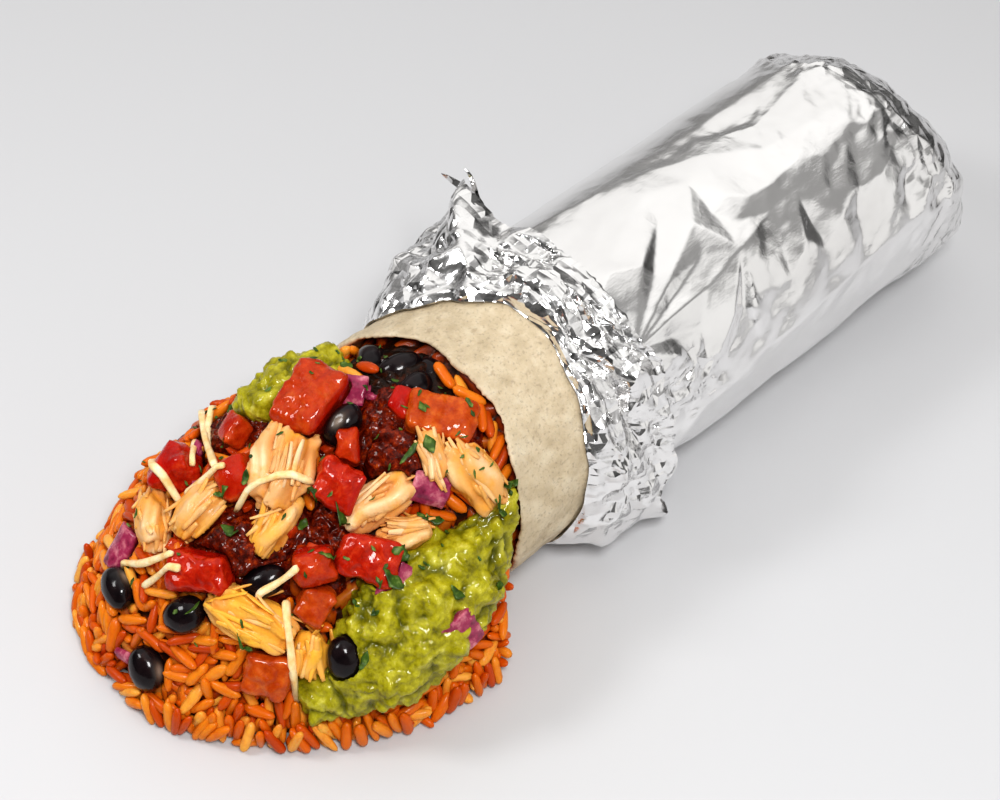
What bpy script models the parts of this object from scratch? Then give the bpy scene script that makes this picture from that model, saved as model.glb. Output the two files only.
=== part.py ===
"""A burrito in foil, open at one end, with its filling heaped out in front of the mouth.

Metres, +Z up. The burrito lies along X with its mouth towards -X, and its underside is a
narrow flat on z = 0. The origin is the middle of that flat.

The foil sleeve, the tortilla inside it and the rice that runs through both are lofts about
the burrito's axis. The food on the heap is made of small solids. A piece lower in the heap
is carved with slightly grown copies of the pieces that lie in or on it.
"""

import math
import random

import bmesh
import bpy
from mathutils import Euler, Matrix, Vector, noise

# ---------------------------------------------------------------- driving dimensions, metres
BODY_WIDTH = 0.078
BODY_HEIGHT = 0.072
AXIS_HEIGHT = 0.034
FAR_END_X = 0.0965
FAR_CORNER = 0.0185
FAR_DIMPLE = 0.0015
FAR_SET_BACK = 0.015
FAR_SET_BACK_DEG = 85
FAR_FOLD_DIP = 0.004
RIM_X = -0.0945
FOIL_WALL = 0.0008
TORTILLA_WALL = 0.0024
GAP = 0.0003
RICE_INSET = FOIL_WALL + TORTILLA_WALL + 2 * GAP
STRAIGHT_END_X = 0.060
CORNER_TURNS = (90, 60, 30)
BODY_DENTS = 0.0007

HEAP_END_X = -0.1885
HEAP_WIDEST_X = -0.118
HEAP_HALF_WIDTH = 0.056
HEAP_SHIFT_Y = 0.011
HEAP_FRONT_SHIFT_Y = 0.007
HEAP_HEIGHT = 0.062
HEAP_ROUNDNESS = 1.35
HEAP_LUMPS = 0.0016
HEAP_START_X = RIM_X - 0.006
HEAP_FAR_SIDE_LAG = 0.024
HEAP_STEPS_X = (-0.1004, -0.106, -0.114, -0.124, -0.138, -0.153, -0.167, -0.178, -0.186)

MASH_DEPTH = 0.62
MASH_LUMPS = 0.22

ANGLE_STEPS = 28
CUFF_BACK_X = -0.048
CUFF_FOOT_STEP = 0.0022
CUFF_CRUMPLE = 0.45
CUFF_ROLL = 0.0012
RIM_BOW = 0.005
LAP_EDGE_DEG = 150
LAP_DEPTH = 0.0018

# The foil's folded front edge and the cuff's flare, by angle: 0 is +Y, 90 is up.
FOIL_FRONT_X = ((0, -0.086), (40, -0.088), (55, -0.083), (70, -0.075), (90, -0.067), (108, -0.066),
                (130, -0.069), (160, -0.074), (180, -0.077), (205, -0.082), (270, -0.080), (320, -0.084))
CUFF_FLARE = ((0, 0.008), (20, 0.011), (38, 0.014), (52, 0.011), (68, 0.006), (90, 0.005), (120, 0.0045),
              (150, 0.004), (178, 0.0045), (195, 0.009), (208, 0.012), (222, 0.008), (250, 0.003),
              (290, 0.003), (330, 0.005))
HORN_DEG = 36
HORN_HEIGHT = 0.004

COLOURS = {
    "foil": ((0.83, 0.83, 0.84), 0.22, 1.0),
    "tortilla": ((0.80, 0.72, 0.60), 0.75, 0.0),
    "rice": ((0.85, 0.36, 0.06), 0.45, 0.0),
    "guacamole": ((0.55, 0.60, 0.10), 0.40, 0.0),
    "salsa": ((0.33, 0.05, 0.02), 0.30, 0.0),
    "tomato": ((0.72, 0.08, 0.03), 0.25, 0.0),
    "chicken": ((0.82, 0.56, 0.32), 0.50, 0.0),
    "bean": ((0.03, 0.02, 0.02), 0.20, 0.0),
    "onion": ((0.45, 0.10, 0.25), 0.30, 0.0),
}


# ---------------------------------------------------------------- scene helpers
def clear_scene():
    for obj in list(bpy.data.objects):
        bpy.data.objects.remove(obj, do_unlink=True)


def collection(name):
    made = bpy.data.collections.new(name)
    bpy.context.scene.collection.children.link(made)
    return made


def material(name):
    """One Principled material for each kind of food, shared by its pieces."""
    found = bpy.data.materials.get(name)
    if found:
        return found
    colour, roughness, metallic = COLOURS[name]
    made = bpy.data.materials.new(name)
    made.use_nodes = True
    shader = made.node_tree.nodes["Principled BSDF"]
    shader.inputs["Base Color"].default_value = (*colour, 1)
    shader.inputs["Roughness"].default_value = roughness
    shader.inputs["Metallic"].default_value = metallic
    made.diffuse_color = (*colour, 1)
    return made


def add_object(name, mesh, kind, home):
    obj = bpy.data.objects.new(name, mesh)
    obj.data.materials.append(material(kind))
    home.objects.link(obj)
    return obj


def mesh_from_bmesh(name, bm):
    bmesh.ops.recalc_face_normals(bm, faces=bm.faces)
    mesh = bpy.data.meshes.new(name)
    bm.to_mesh(mesh)
    bm.free()
    return mesh


# ---------------------------------------------------------------- curves used by several pieces
def smooth(edge0, edge1, value):
    """0 before edge0, 1 after edge1, and a smooth ramp between."""
    t = min(max((value - edge0) / (edge1 - edge0), 0.0), 1.0)
    return t * t * (3 - 2 * t)


def mix(a, b, t):
    return a + (b - a) * t


def around(table, degrees):
    """The value of an (angle, value) table at an angle, eased between its entries and closed round."""
    degrees %= 360
    closed = [*table, (table[0][0] + 360, table[0][1])]
    for (start, a), (end, b) in zip(closed, closed[1:]):
        if start <= degrees <= end:
            return mix(a, b, smooth(start, end, degrees))
    return table[0][1]


def ring_noise(degrees, detail, row):
    """Noise that runs round the burrito and closes on itself. row picks another stretch of it."""
    a = math.radians(degrees)
    return noise.noise(Vector((math.cos(a) * detail, math.sin(a) * detail, row)))


def bump(degrees, centre, half_width):
    """1 at the centre angle, falling to 0 at half_width degrees to each side."""
    away = abs((degrees - centre + 180) % 360 - 180)
    return smooth(half_width, 0, away) if away < half_width else 0.0


# ---------------------------------------------------------------- the burrito's section
def oval(degrees, inset, outset=0.0):
    """(y, z) on the body's section, moved in by inset or out by outset, and flat below the floor line."""
    a = math.radians(degrees)
    y = (BODY_WIDTH / 2 - inset + outset) * math.cos(a)
    z = AXIS_HEIGHT + (BODY_HEIGHT / 2 - inset + outset) * math.sin(a)
    return y, max(z, inset)


def set_back(degrees):
    """How far the slanting far end stands back at an angle: most at the top, with a dip beside the fold."""
    slant = 0.5 + 0.5 * math.cos(math.radians(degrees - FAR_SET_BACK_DEG))
    return FAR_SET_BACK * slant + FAR_FOLD_DIP * bump(degrees, 58, 26)


def end_ring(inset, turn_deg):
    """A ring on the rounded far corner: turn 0 is where the straight side ends, 90 is the flat end."""
    corner = FAR_CORNER - inset
    turn = math.radians(turn_deg)
    x = FAR_END_X - FAR_CORNER + corner * math.sin(turn)
    shrink = corner * (1 - math.cos(turn))
    points = []
    for degrees in angles():
        y, z = oval(degrees, inset + shrink)
        points.append(Vector((x - set_back(degrees), y, max(z, inset))))
    return points


def end_tip(inset):
    """The middle of the far end, which is pressed in a little."""
    return Vector((FAR_END_X - FAR_SET_BACK / 2 - FAR_DIMPLE - inset, 0, AXIS_HEIGHT))


def angles():
    return [i * 360 / ANGLE_STEPS for i in range(ANGLE_STEPS)]


def straight_ring(x, inset):
    return [Vector((x, *oval(degrees, inset))) for degrees in angles()]


def loft(name, rings, tips):
    """A closed solid through rings of equal length, with a fan to one tip point at each end.

    Each quad is split along the same diagonal, whichever way the rings run, so that nested
    shells have parallel facets and keep their gap.
    """
    bm = bmesh.new()
    rows = [[bm.verts.new(p) for p in ring] for ring in rings]
    for row, following in zip(rows, rows[1:]):
        forward = row[0].co.x < following[0].co.x
        for i, v in enumerate(row):
            j = (i + 1) % len(row)
            if forward:
                bm.faces.new((v, row[j], following[j]))
                bm.faces.new((v, following[j], following[i]))
            else:
                bm.faces.new((following[i], v, row[j]))
                bm.faces.new((following[i], row[j], following[j]))
    for row, tip in ((rows[0], tips[0]), (rows[-1], tips[1])):
        centre = bm.verts.new(tip)
        for i, v in enumerate(row):
            bm.faces.new((v, row[(i + 1) % len(row)], centre))
    return mesh_from_bmesh(name, bm)


# ---------------------------------------------------------------- foil sleeve with its turned-back cuff
def cuff_back(degrees):
    """X of the cuff's torn edge, which wanders round the burrito."""
    ragged = ring_noise(degrees, 2.3, 5.1)
    return CUFF_BACK_X + 0.007 * ragged + 0.006 * bump(degrees, HORN_DEG, 24) - 0.005 * bump(degrees, 195, 40)


def cuff_ring(along, share, lift=0.0):
    """A ring on the cuff. along runs from 0 at its torn back edge to 1 at the front fold."""
    points = []
    for degrees in angles():
        x = mix(cuff_back(degrees), around(FOIL_FRONT_X, degrees), along)
        flare = around(CUFF_FLARE, degrees) + HORN_HEIGHT * bump(degrees, HORN_DEG, 9) * (along < 0.1)
        crumple = 1 + CUFF_CRUMPLE * ring_noise(degrees, 4.0, along * 3.0)
        points.append(Vector((x, *oval(degrees, 0.0, share * flare * crumple + lift))))
    return points


def dented(ring):
    """Shallow dents on the wrapped body. The resting flat stays flat."""
    moved = []
    for p in ring:
        out = Vector((0, p.y, p.z - AXIS_HEIGHT)).normalized()
        depth = BODY_DENTS * noise.noise(p * 45) * smooth(0.002, 0.012, p.z)
        moved.append(p + out * depth)
    return moved


def foil_mesh():
    """The sleeve from its closed end forward, out over the cuff, and back along its inside."""
    outer = [end_ring(0, turn) for turn in CORNER_TURNS]
    outer += [dented(straight_ring(x, 0)) for x in (STRAIGHT_END_X, 0.038, 0.016, -0.006, -0.028)]
    foot = [Vector((cuff_back(d) + CUFF_FOOT_STEP, *oval(d, 0))) for d in angles()]
    cuff = [foot, cuff_ring(0, 1.0), cuff_ring(0.35, 0.85), cuff_ring(0.7, 0.6), cuff_ring(1, 0.1, CUFF_ROLL)]
    edge = [Vector((around(FOIL_FRONT_X, d), *oval(d, FOIL_WALL))) for d in angles()]
    inner = [straight_ring(x, FOIL_WALL) for x in (-0.040, STRAIGHT_END_X)]
    inner += [end_ring(FOIL_WALL, turn) for turn in reversed(CORNER_TURNS)]
    return loft("foil_wrap", outer + cuff + [edge] + inner, [end_tip(0), end_tip(FOIL_WALL)])


# ---------------------------------------------------------------- tortilla
def rim_x(degrees):
    """X of the tortilla's mouth, which sits back at the top and reaches out at the sides."""
    bow = RIM_BOW * math.cos(math.radians(2 * (degrees - 100)))
    return RIM_X + bow + 0.0012 * ring_noise(degrees, 3, 9)


def lap(degrees):
    """How far the sheet's overlapping inner edge stands in from the wall."""
    return LAP_DEPTH * smooth(LAP_EDGE_DEG - 5, LAP_EDGE_DEG + 4, degrees) * smooth(250, 175, degrees)


def inner_oval(degrees, inset):
    """(y, z) on the section inside the lapped tortilla."""
    return oval(degrees, inset + lap(degrees))


def inner_ring(x, inset):
    return [Vector((x, *inner_oval(d, inset))) for d in angles()]


def inner_end_ring(inset, turn_deg):
    """A far-corner ring inside the tortilla, drawn in by the lap where that is straight."""
    fade = math.cos(math.radians(turn_deg))
    points = []
    for degrees, p in zip(angles(), end_ring(inset, turn_deg)):
        out = Vector((0, p.y, p.z - AXIS_HEIGHT)).normalized()
        points.append(p - out * lap(degrees) * fade)
    return points


def tortilla_mesh(grow=0.0):
    outer_inset = FOIL_WALL + GAP - grow
    wall_inset = FOIL_WALL + GAP + TORTILLA_WALL + grow
    outer = [end_ring(outer_inset, turn) for turn in CORNER_TURNS]
    outer += [straight_ring(x, outer_inset) for x in (STRAIGHT_END_X, -0.060)]
    outer += [[Vector((rim_x(d) + 0.0008 - grow, *oval(d, outer_inset))) for d in angles()]]
    lip = [Vector((rim_x(d) - grow, *oval(d, outer_inset + TORTILLA_WALL / 2))) for d in angles()]
    mouth = [Vector((rim_x(d) + 0.0006 - grow, *inner_oval(d, wall_inset))) for d in angles()]
    inner = [inner_ring(x, wall_inset) for x in (-0.060, STRAIGHT_END_X)]
    inner += [inner_end_ring(wall_inset, turn) for turn in reversed(CORNER_TURNS)]
    return loft("tortilla", outer + [lip, mouth] + inner, [end_tip(outer_inset), end_tip(wall_inset)])


# ---------------------------------------------------------------- rice, through the burrito and out into the heap
def heap_spread(x, degrees):
    """0 in the mouth, 1 where the heap is at full width, which the near side reaches first."""
    far_side = 0.5 + 0.5 * math.cos(math.radians(degrees))
    full = HEAP_WIDEST_X - HEAP_FAR_SIDE_LAG * far_side
    return smooth(HEAP_START_X, full, x)


def heap_centre_y(x):
    start = HEAP_SHIFT_Y * smooth(RIM_X, HEAP_WIDEST_X, x)
    return start + HEAP_FRONT_SHIFT_Y * smooth(HEAP_WIDEST_X - 0.020, HEAP_END_X, x)


def heap_half_width(x):
    reach = max(HEAP_WIDEST_X - x, 0) / (HEAP_WIDEST_X - HEAP_END_X)
    return HEAP_HALF_WIDTH * math.sqrt(max(1 - reach**2, 0))


def heap_ridge(x):
    """Height of the heap's crest, which falls away in front."""
    reach = min(max((RIM_X - x) / (RIM_X - HEAP_END_X), 0), 1)
    return HEAP_HEIGHT * (1 - reach**2.1) ** 0.66


def heap_point(x, degrees):
    """A point on the heap's D-shaped section: a dome above, the floor below."""
    a = math.radians(degrees)
    y = heap_centre_y(x) + heap_half_width(x) * math.cos(a)
    rise = max(math.sin(a), 0) ** HEAP_ROUNDNESS
    return y, heap_ridge(x) * rise


def heap_top(x, y):
    """Height of the rice under a piece that lies on it."""
    across = (y - heap_centre_y(x)) / heap_half_width(x)
    heap = heap_ridge(x) * max(1 - across**2, 0) ** (HEAP_ROUNDNESS / 2)
    inside = y / (BODY_WIDTH / 2 - RICE_INSET)
    mouth = AXIS_HEIGHT + (BODY_HEIGHT / 2 - RICE_INSET) * math.sqrt(max(1 - inside**2, 0))
    return mix(mouth, heap, heap_spread(x, 90))


def rice_ring(x):
    points = []
    for degrees in angles():
        spread = heap_spread(x, degrees)
        y, z = inner_oval(degrees, RICE_INSET)
        heap_y, heap_z = heap_point(x, degrees)
        p = Vector((x, mix(y, heap_y, spread), mix(z, heap_z, spread)))
        lump = HEAP_LUMPS * noise.noise(p * 130) * spread
        lump *= smooth(0.001, 0.006, p.z)
        points.append(p + Vector((0, lump * math.cos(math.radians(degrees)), lump)))
    return points


def rice_mesh():
    far = [inner_end_ring(RICE_INSET, turn) for turn in CORNER_TURNS]
    inside = [inner_ring(x, RICE_INSET) for x in (STRAIGHT_END_X, -0.086)]
    heap = [rice_ring(x) for x in HEAP_STEPS_X]
    front = Vector((HEAP_END_X + 0.001, heap_centre_y(HEAP_END_X), 0.002))
    return loft("rice", far + inside + heap, [end_tip(RICE_INSET), front])


# ---------------------------------------------------------------- small pieces, each about its own origin
def jitter(bm, amount, seed):
    """Moves each vertex a little, the same way each run."""
    rng = random.Random(seed)
    for v in bm.verts:
        v.co += Vector([rng.uniform(-amount, amount) for _ in range(3)])


def tomato_bmesh(size, seed):
    """Diced tomato: a block with a bowed skin side on top and softened edges."""
    bm = bmesh.new()
    bmesh.ops.create_cube(bm, size=1)
    corners = list(bm.edges)
    bmesh.ops.scale(bm, vec=size, verts=bm.verts)
    for v in bm.verts:
        if v.co.z < 0:
            v.co.x *= 0.82
            v.co.y *= 0.88
    jitter(bm, min(size) * 0.09, seed)
    bmesh.ops.bevel(bm, geom=corners, offset=min(size) * 0.14, segments=1, affect="EDGES")
    flats = [f for f in bm.faces if len(f.verts) == 4 and f.calc_area() > 0.2 * size[0] * size[1]]
    poked = bmesh.ops.poke(bm, faces=[f for f in flats if f.normal.z > 0.85])
    for v in poked["verts"]:
        v.co.z += size[2] * 0.10
    return bm


def bean_bmesh(size, seed):
    """Black bean: an egg shape, bent a little like a kidney."""
    bend = 0.22 + 0.04 * (seed % 4)
    bm = bmesh.new()
    bmesh.ops.create_icosphere(bm, subdivisions=2, radius=0.5)
    for v in bm.verts:
        v.co.y += bend * v.co.x**2 - 0.03
    bmesh.ops.scale(bm, vec=size, verts=bm.verts)
    return bm


def chicken_bmesh(size, seed):
    """Pulled chicken: a bundle along X with ridges of muscle fibre and torn, tapering ends."""
    rng = random.Random(seed)
    sides, stations = 10, (-1.0, -0.45, 0.35, 1.0)
    bm = bmesh.new()
    ridges = [1 + (0.13 if i % 2 else -0.13) + rng.uniform(-0.07, 0.07) for i in range(sides)]
    rows = []
    for t in stations:
        fullness = math.sqrt(1 - 0.62 * t * t) * rng.uniform(0.92, 1.08)
        twist = 0.25 * t
        row = []
        for i, ridge in enumerate(ridges):
            a = math.tau * i / sides + twist
            r = fullness * ridge / 2
            lean = rng.uniform(-0.06, 0.06) if abs(t) == 1 else 0.0
            place = ((t / 2 + lean) * size[0], r * math.cos(a) * size[1], r * math.sin(a) * size[2])
            row.append(bm.verts.new(place))
        rows.append(row)
    for row, following in zip(rows, rows[1:]):
        for i in range(sides):
            j = (i + 1) % sides
            bm.faces.new((row[i], row[j], following[j], following[i]))
    bm.faces.new(rows[0])
    bm.faces.new(rows[-1])
    return bm


def onion_bmesh(size, seed):
    """Diced red onion: a short piece of one curved layer."""
    steps, arc = 4, math.radians(70)
    radius = size[0] / (2 * math.sin(arc / 2))
    bm = bmesh.new()
    rows = []
    for i in range(steps + 1):
        a = arc * (i / steps - 0.5)
        outer, inner = radius, radius - size[2]
        ring = []
        for r, y in ((outer, 0.5), (outer, -0.5), (inner, -0.45), (inner, 0.45)):
            ring.append(bm.verts.new((r * math.sin(a), y * size[1], r * math.cos(a) - radius + size[2] / 2)))
        rows.append(ring)
    for row, following in zip(rows, rows[1:]):
        for i in range(4):
            j = (i + 1) % 4
            bm.faces.new((row[i], row[j], following[j], following[i]))
    bm.faces.new(rows[0])
    bm.faces.new(rows[-1])
    jitter(bm, size[2] * 0.06, seed)
    return bm


def mash_bmesh(spine, radii, outward, seed, detail):
    """A lumpy mass spread along a spine of points, with a radius at each, and flatter towards outward."""
    bm = bmesh.new()
    bmesh.ops.create_icosphere(bm, subdivisions=detail, radius=1)
    last = len(spine) - 1
    outward = Vector(outward).normalized()
    for v in bm.verts:
        n = v.co.normalized()
        t = (n.x * 0.5 + 0.5) * last
        i = min(int(t), last - 1)
        centre = spine[i].lerp(spine[i + 1], t - i)
        radius = mix(radii[i], radii[i + 1], t - i)
        along = (spine[-1] - spine[0]).normalized()
        turned = along.to_track_quat("X", "Z") @ Vector((0, n.y, n.z))
        turned -= outward * turned.dot(outward) * (1 - MASH_DEPTH)
        lumpy = 1 + MASH_LUMPS * noise.noise(centre * 80 + n * 1.6 + Vector((seed, 0, 0)))
        v.co = centre + turned * radius * lumpy + along * radius * n.x * abs(n.x) * 0.6
    return bm


SHAPES = {"tomato": tomato_bmesh, "bean": bean_bmesh, "chicken": chicken_bmesh, "onion": onion_bmesh}

# Where each piece lies: name, kind, x and y and its middle's lift above the rice (mm), size (mm),
# and how it is turned on the heap's slope: yaw, pitch and roll (degrees).
# Pieces are listed from the top of the heap down: a later piece is carved to fit under an earlier one.
PIECES = (
    ("tomato_1", "tomato", (-122, 14, 5), (20, 13, 11), (8, -4, 14)),
    ("tomato_2", "tomato", (-152, 34, 4), (12, 12, 10), (-30, -4, -8)),
    ("tomato_3", "tomato", (-146, 15, 3), (12, 10, 9), (60, -14, 0)),
    ("tomato_4", "tomato", (-131, -6, 4.5), (12.5, 12, 11), (22, -10, 8)),
    ("tomato_5", "tomato", (-123, -2, 3.5), (10, 6, 6), (50, 0, 10)),
    ("tomato_6", "tomato", (-102, -12, -0.5), (17, 12, 9), (-55, 0, 6)),
    ("tomato_7", "tomato", (-165, 7, 4), (17, 11, 10), (-52, 0, 8)),
    ("tomato_8", "tomato", (-145, -14, 3.5), (11, 9, 9), (-20, -6, 10)),
    ("tomato_9", "tomato", (-150, -18, 3), (10, 10, 9), (30, -6, 6)),
    ("tomato_10", "tomato", (-135, -21, 5), (15, 11, 9), (-50, -10, 4)),
    ("tomato_11", "tomato", (-166, -17, 3.5), (12, 11, 9), (-40, 6, -6)),
    ("tomato_12", "tomato", (-137, 27, 3), (9, 8, 7), (0, -8, -10)),
    ("tomato_13", "tomato", (-107, -3, 0.5), (8, 7, 6), (20, 0, 10)),
    ("bean_1", "bean", (-178, 29, 2.5), (12.8, 9, 7.5), (62, 0, 0)),
    ("bean_2", "bean", (-173, 6, 3), (12, 9.5, 8), (-20, 0, 0)),
    ("bean_3", "bean", (-184.5, 10, 2.5), (12.5, 10, 8.5), (50, 0, 0)),
    ("bean_4", "bean", (-121, 3, 4), (12.5, 8, 7.5), (5, -6, 10)),
    ("bean_5", "bean", (-151, -30, 8), (12, 10, 8.5), (70, 0, 0)),
    ("bean_6", "bean", (-100, 17, -2), (12.5, 8, 7.5), (60, 0, 0)),
    ("bean_7", "bean", (-98, 8, -2), (12.5, 8, 7.5), (-20, 0, 0)),
    ("bean_8", "bean", (-93, 3, -4), (12, 8, 7.5), (-70, 0, 0)),
    ("bean_9", "bean", (-101, -1, -1.5), (12, 8, 7.5), (15, 0, 0)),
    ("bean_10", "bean", (-156, -6, 1.5), (12, 8, 7), (-15, 0, 0)),
    ("onion_1", "onion", (-171, 36, 2), (9, 12, 3), (70, -10, 0)),
    ("onion_2", "onion", (-115, -22, 3.5), (9, 10, 3), (40, 0, 20)),
    ("onion_3", "onion", (-133, -29, 8), (11, 7, 3), (30, -10, 10)),
    ("onion_4", "onion", (-126, -42, 14), (10, 11, 3), (10, 0, 0)),
    ("onion_5", "onion", (-113, 9, 2.5), (9, 8, 3), (30, -10, 10)),
    ("onion_6", "onion", (-185.5, 18, 1.5), (4, 6.5, 2.5), (20, 0, 0)),
    ("chicken_1", "chicken", (-137, 7, 5), (22, 18, 11), (30, 0, 0)),
    ("chicken_2", "chicken", (-164, 29, 3), (16, 10, 9), (48, 0, 0)),
    ("chicken_3", "chicken", (-157, 18, 3.5), (15, 11, 8), (-10, 0, 0)),
    ("chicken_4", "chicken", (-163, -9, 4), (22, 14, 11), (-62, 0, 10)),
    ("chicken_5", "chicken", (-126, -15, 4.5), (18, 10, 8), (2, -6, 10)),
    ("chicken_6", "chicken", (-125, -23, 4), (12, 8, 7), (-15, 0, 10)),
    ("chicken_8", "chicken", (-110, -18, 3.5), (15, 7, 6), (70, 0, 10)),
    ("chicken_7", "chicken", (-104, -27, 2.5), (19, 11, 8), (-88, 0, 0)),
    ("chicken_9", "chicken", (-147, -1, 3), (16, 9, 7), (20, -6, 8)),
    ("chicken_10", "chicken", (-156, -23, 2.5), (11, 10, 8), (60, 0, 0)),
)

# Masses laid over the rice: name, kind, spine (x, y and lift, mm), radius at each point (mm),
# the way it faces, seed, detail.
MASSES = (
    ("guacamole_1", "guacamole", ((-100, -32, 0), (-112, -35, 1), (-127, -33, 3), (-144, -34, 3), (-158, -28, 1)),
     (8, 12, 18, 15, 11), (-0.1, -0.65, 0.75), 3, 3),
    ("guacamole_2", "guacamole", ((-132, 30, 1.5), (-120, 27, 2.5), (-107, 24, 1)), (8, 10, 8), (0, 0.3, 1), 8, 2),
    ("salsa_1", "salsa", ((-104, -13, -1), (-113, -11, 0.5), (-122, -9, 0)), (7, 10, 8), (-0.3, -0.1, 1), 2, 2),
    ("salsa_2", "salsa", ((-148, -4, 0), (-154, 3, 1), (-161, 12, 0)), (8, 9, 8), (-0.5, 0, 1), 6, 2),
)


def bed(x, y):
    """Axes of the heap's surface at a point: Z straight out of it, X along the burrito."""
    step = 0.003
    slope_x = (heap_top(x + step, y) - heap_top(x - step, y)) / (2 * step)
    slope_y = (heap_top(x, y + step) - heap_top(x, y - step)) / (2 * step)
    out = Vector((-slope_x, -slope_y, 1)).normalized()
    across = out.cross(Vector((1, 0, 0))).normalized()
    return Matrix((across.cross(out), across, out)).transposed()


def on_heap(place_mm):
    """The point at x, y and a lift above the rice."""
    x, y, lift_above = (v / 1000 for v in place_mm)
    return Vector((x, y, heap_top(x, y) + lift_above))


def piece_mesh(name, kind, place, size, turn, grow=0.0):
    bm = SHAPES[kind](Vector(size) / 1000, sum(map(ord, name)))
    centre = on_heap(place)
    yaw, pitch, roll = (math.radians(a) for a in turn)
    turned = bed(centre.x, centre.y) @ Euler((roll, pitch, yaw)).to_matrix()
    bmesh.ops.transform(bm, matrix=Matrix.Translation(centre) @ turned.to_4x4(), verts=bm.verts)
    return grown(name, bm, grow)


def mass_mesh(name, spine, radii, outward, seed, detail, grow=0.0):
    bm = mash_bmesh([on_heap(p) for p in spine], [r / 1000 for r in radii], outward, seed, detail)
    return grown(name, bm, grow)


def clearance(v, amount):
    """The move that takes a vertex at least amount out from each face round it."""
    move = Vector()
    for _ in range(12):
        for face in v.link_faces:
            short = amount - face.normal.dot(move)
            if short > 0:
                move += face.normal * short
    return move


def grown(name, bm, amount):
    """The mesh with its surface moved out by amount, which makes the cutter for its own bed."""
    bmesh.ops.triangulate(bm, faces=bm.faces)
    bmesh.ops.recalc_face_normals(bm, faces=bm.faces)
    bm.normal_update()
    for v, move in [(v, clearance(v, amount)) for v in bm.verts]:
        v.co += move
    return mesh_from_bmesh(name, bm)


# ---------------------------------------------------------------- carving
def cutter(name, mesh, home):
    obj = bpy.data.objects.new(name, mesh)
    obj.hide_render = True
    obj.display_type = "WIRE"
    home.objects.link(obj)
    return obj


def box_of(mesh):
    low = Vector([min(v.co[i] for v in mesh.vertices) for i in range(3)])
    high = Vector([max(v.co[i] for v in mesh.vertices) for i in range(3)])
    return low, high


def boxes_meet(first, second):
    return all(first[0][i] < second[1][i] and second[0][i] < first[1][i] for i in range(3))


def carve(obj, cutters):
    """Cuts from obj each grown piece whose box meets its own."""
    own = box_of(obj.data)
    for tool in cutters:
        if boxes_meet(own, box_of(tool.data)):
            cut = obj.modifiers.new("clear_" + tool.name, "BOOLEAN")
            cut.operation = "DIFFERENCE"
            cut.solver = "EXACT"
            cut.object = tool


def build():
    clear_scene()
    parts, tools = collection("burrito"), collection("cutters")
    add_object("foil_wrap", foil_mesh(), "foil", parts)
    add_object("tortilla", tortilla_mesh(), "tortilla", parts)
    cutters = [cutter("tortilla_grown", tortilla_mesh(GAP), tools)]
    for name, kind, *where in PIECES:
        obj = add_object(name, piece_mesh(name, kind, *where), kind, parts)
        carve(obj, cutters)
        cutters.append(cutter(name + "_grown", piece_mesh(name, kind, *where, grow=GAP), tools))
    for name, kind, *form in MASSES:
        obj = add_object(name, mass_mesh(name, *form), kind, parts)
        carve(obj, cutters)
        cutters.append(cutter(name + "_grown", mass_mesh(name, *form, grow=GAP), tools))
    rice = add_object("rice", rice_mesh(), "rice", parts)
    carve(rice, cutters[1:])


build()
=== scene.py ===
"""Looks of an open foil-wrapped burrito with its filling heaped out in front of the mouth.

Metres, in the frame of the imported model: +X towards the closed foil end, mouth towards -X,
-Y the side seen, +Z up, the floor at z = 0. Angles run round the burrito: 0 is +Y, 90 is up,
180 is the near side.
"""

import itertools
import math

import bmesh
import bpy
import numpy as np
from mathutils import Euler, Matrix, Vector, noise
from mathutils.bvhtree import BVHTree
from mathutils.geometry import delaunay_2d_cdt


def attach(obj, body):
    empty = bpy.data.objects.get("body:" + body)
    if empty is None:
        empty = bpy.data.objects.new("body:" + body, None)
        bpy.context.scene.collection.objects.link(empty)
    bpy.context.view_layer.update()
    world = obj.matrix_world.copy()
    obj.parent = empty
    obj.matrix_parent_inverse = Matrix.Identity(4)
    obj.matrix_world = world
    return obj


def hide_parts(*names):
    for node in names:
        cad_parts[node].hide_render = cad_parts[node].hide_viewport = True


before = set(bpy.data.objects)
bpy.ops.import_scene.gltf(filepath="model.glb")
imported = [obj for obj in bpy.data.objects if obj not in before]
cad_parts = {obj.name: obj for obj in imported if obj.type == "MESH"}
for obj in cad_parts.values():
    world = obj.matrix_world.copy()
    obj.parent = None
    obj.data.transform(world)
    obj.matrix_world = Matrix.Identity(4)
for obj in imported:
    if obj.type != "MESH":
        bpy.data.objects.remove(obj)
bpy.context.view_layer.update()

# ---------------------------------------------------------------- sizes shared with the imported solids
BODY_WIDTH = 0.078
BODY_HEIGHT = 0.072
AXIS_HEIGHT = 0.034
FAR_END_X = 0.0965
FAR_CORNER = 0.0185
FAR_DIMPLE = 0.0015
FAR_SET_BACK = 0.015
FAR_SET_BACK_DEG = 85
FAR_FOLD_DIP = 0.004
RIM_X = -0.0945
RIM_BOW = 0.005
FOIL_WALL = 0.0008
TORTILLA_WALL = 0.0024
RIM_WALL = 0.0012
TORTILLA_INSET = 0.0011
RICE_INSET = 0.0038
HEAP_END_X = -0.1885
HEAP_WIDEST_X = -0.118
HEAP_START_X = RIM_X - 0.006
HEAP_FAR_SIDE_LAG = 0.024
HEAP_HALF_WIDTH = 0.056
HEAP_SHIFT_Y = 0.011
HEAP_FRONT_SHIFT_Y = 0.007
HEAP_HEIGHT = 0.062
HEAP_ROUNDNESS = 1.35
HEAP_REACH_Y = (-0.0505, 0.0645)
LAP_DEPTH = 0.0018
CUFF_BACK_X = -0.048
HORN_DEG = 36
FOIL_FRONT_X = ((0, -0.086), (40, -0.088), (55, -0.083), (70, -0.075), (90, -0.067), (108, -0.066),
                (130, -0.069), (160, -0.074), (180, -0.077), (205, -0.082), (270, -0.080), (320, -0.084))
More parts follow.
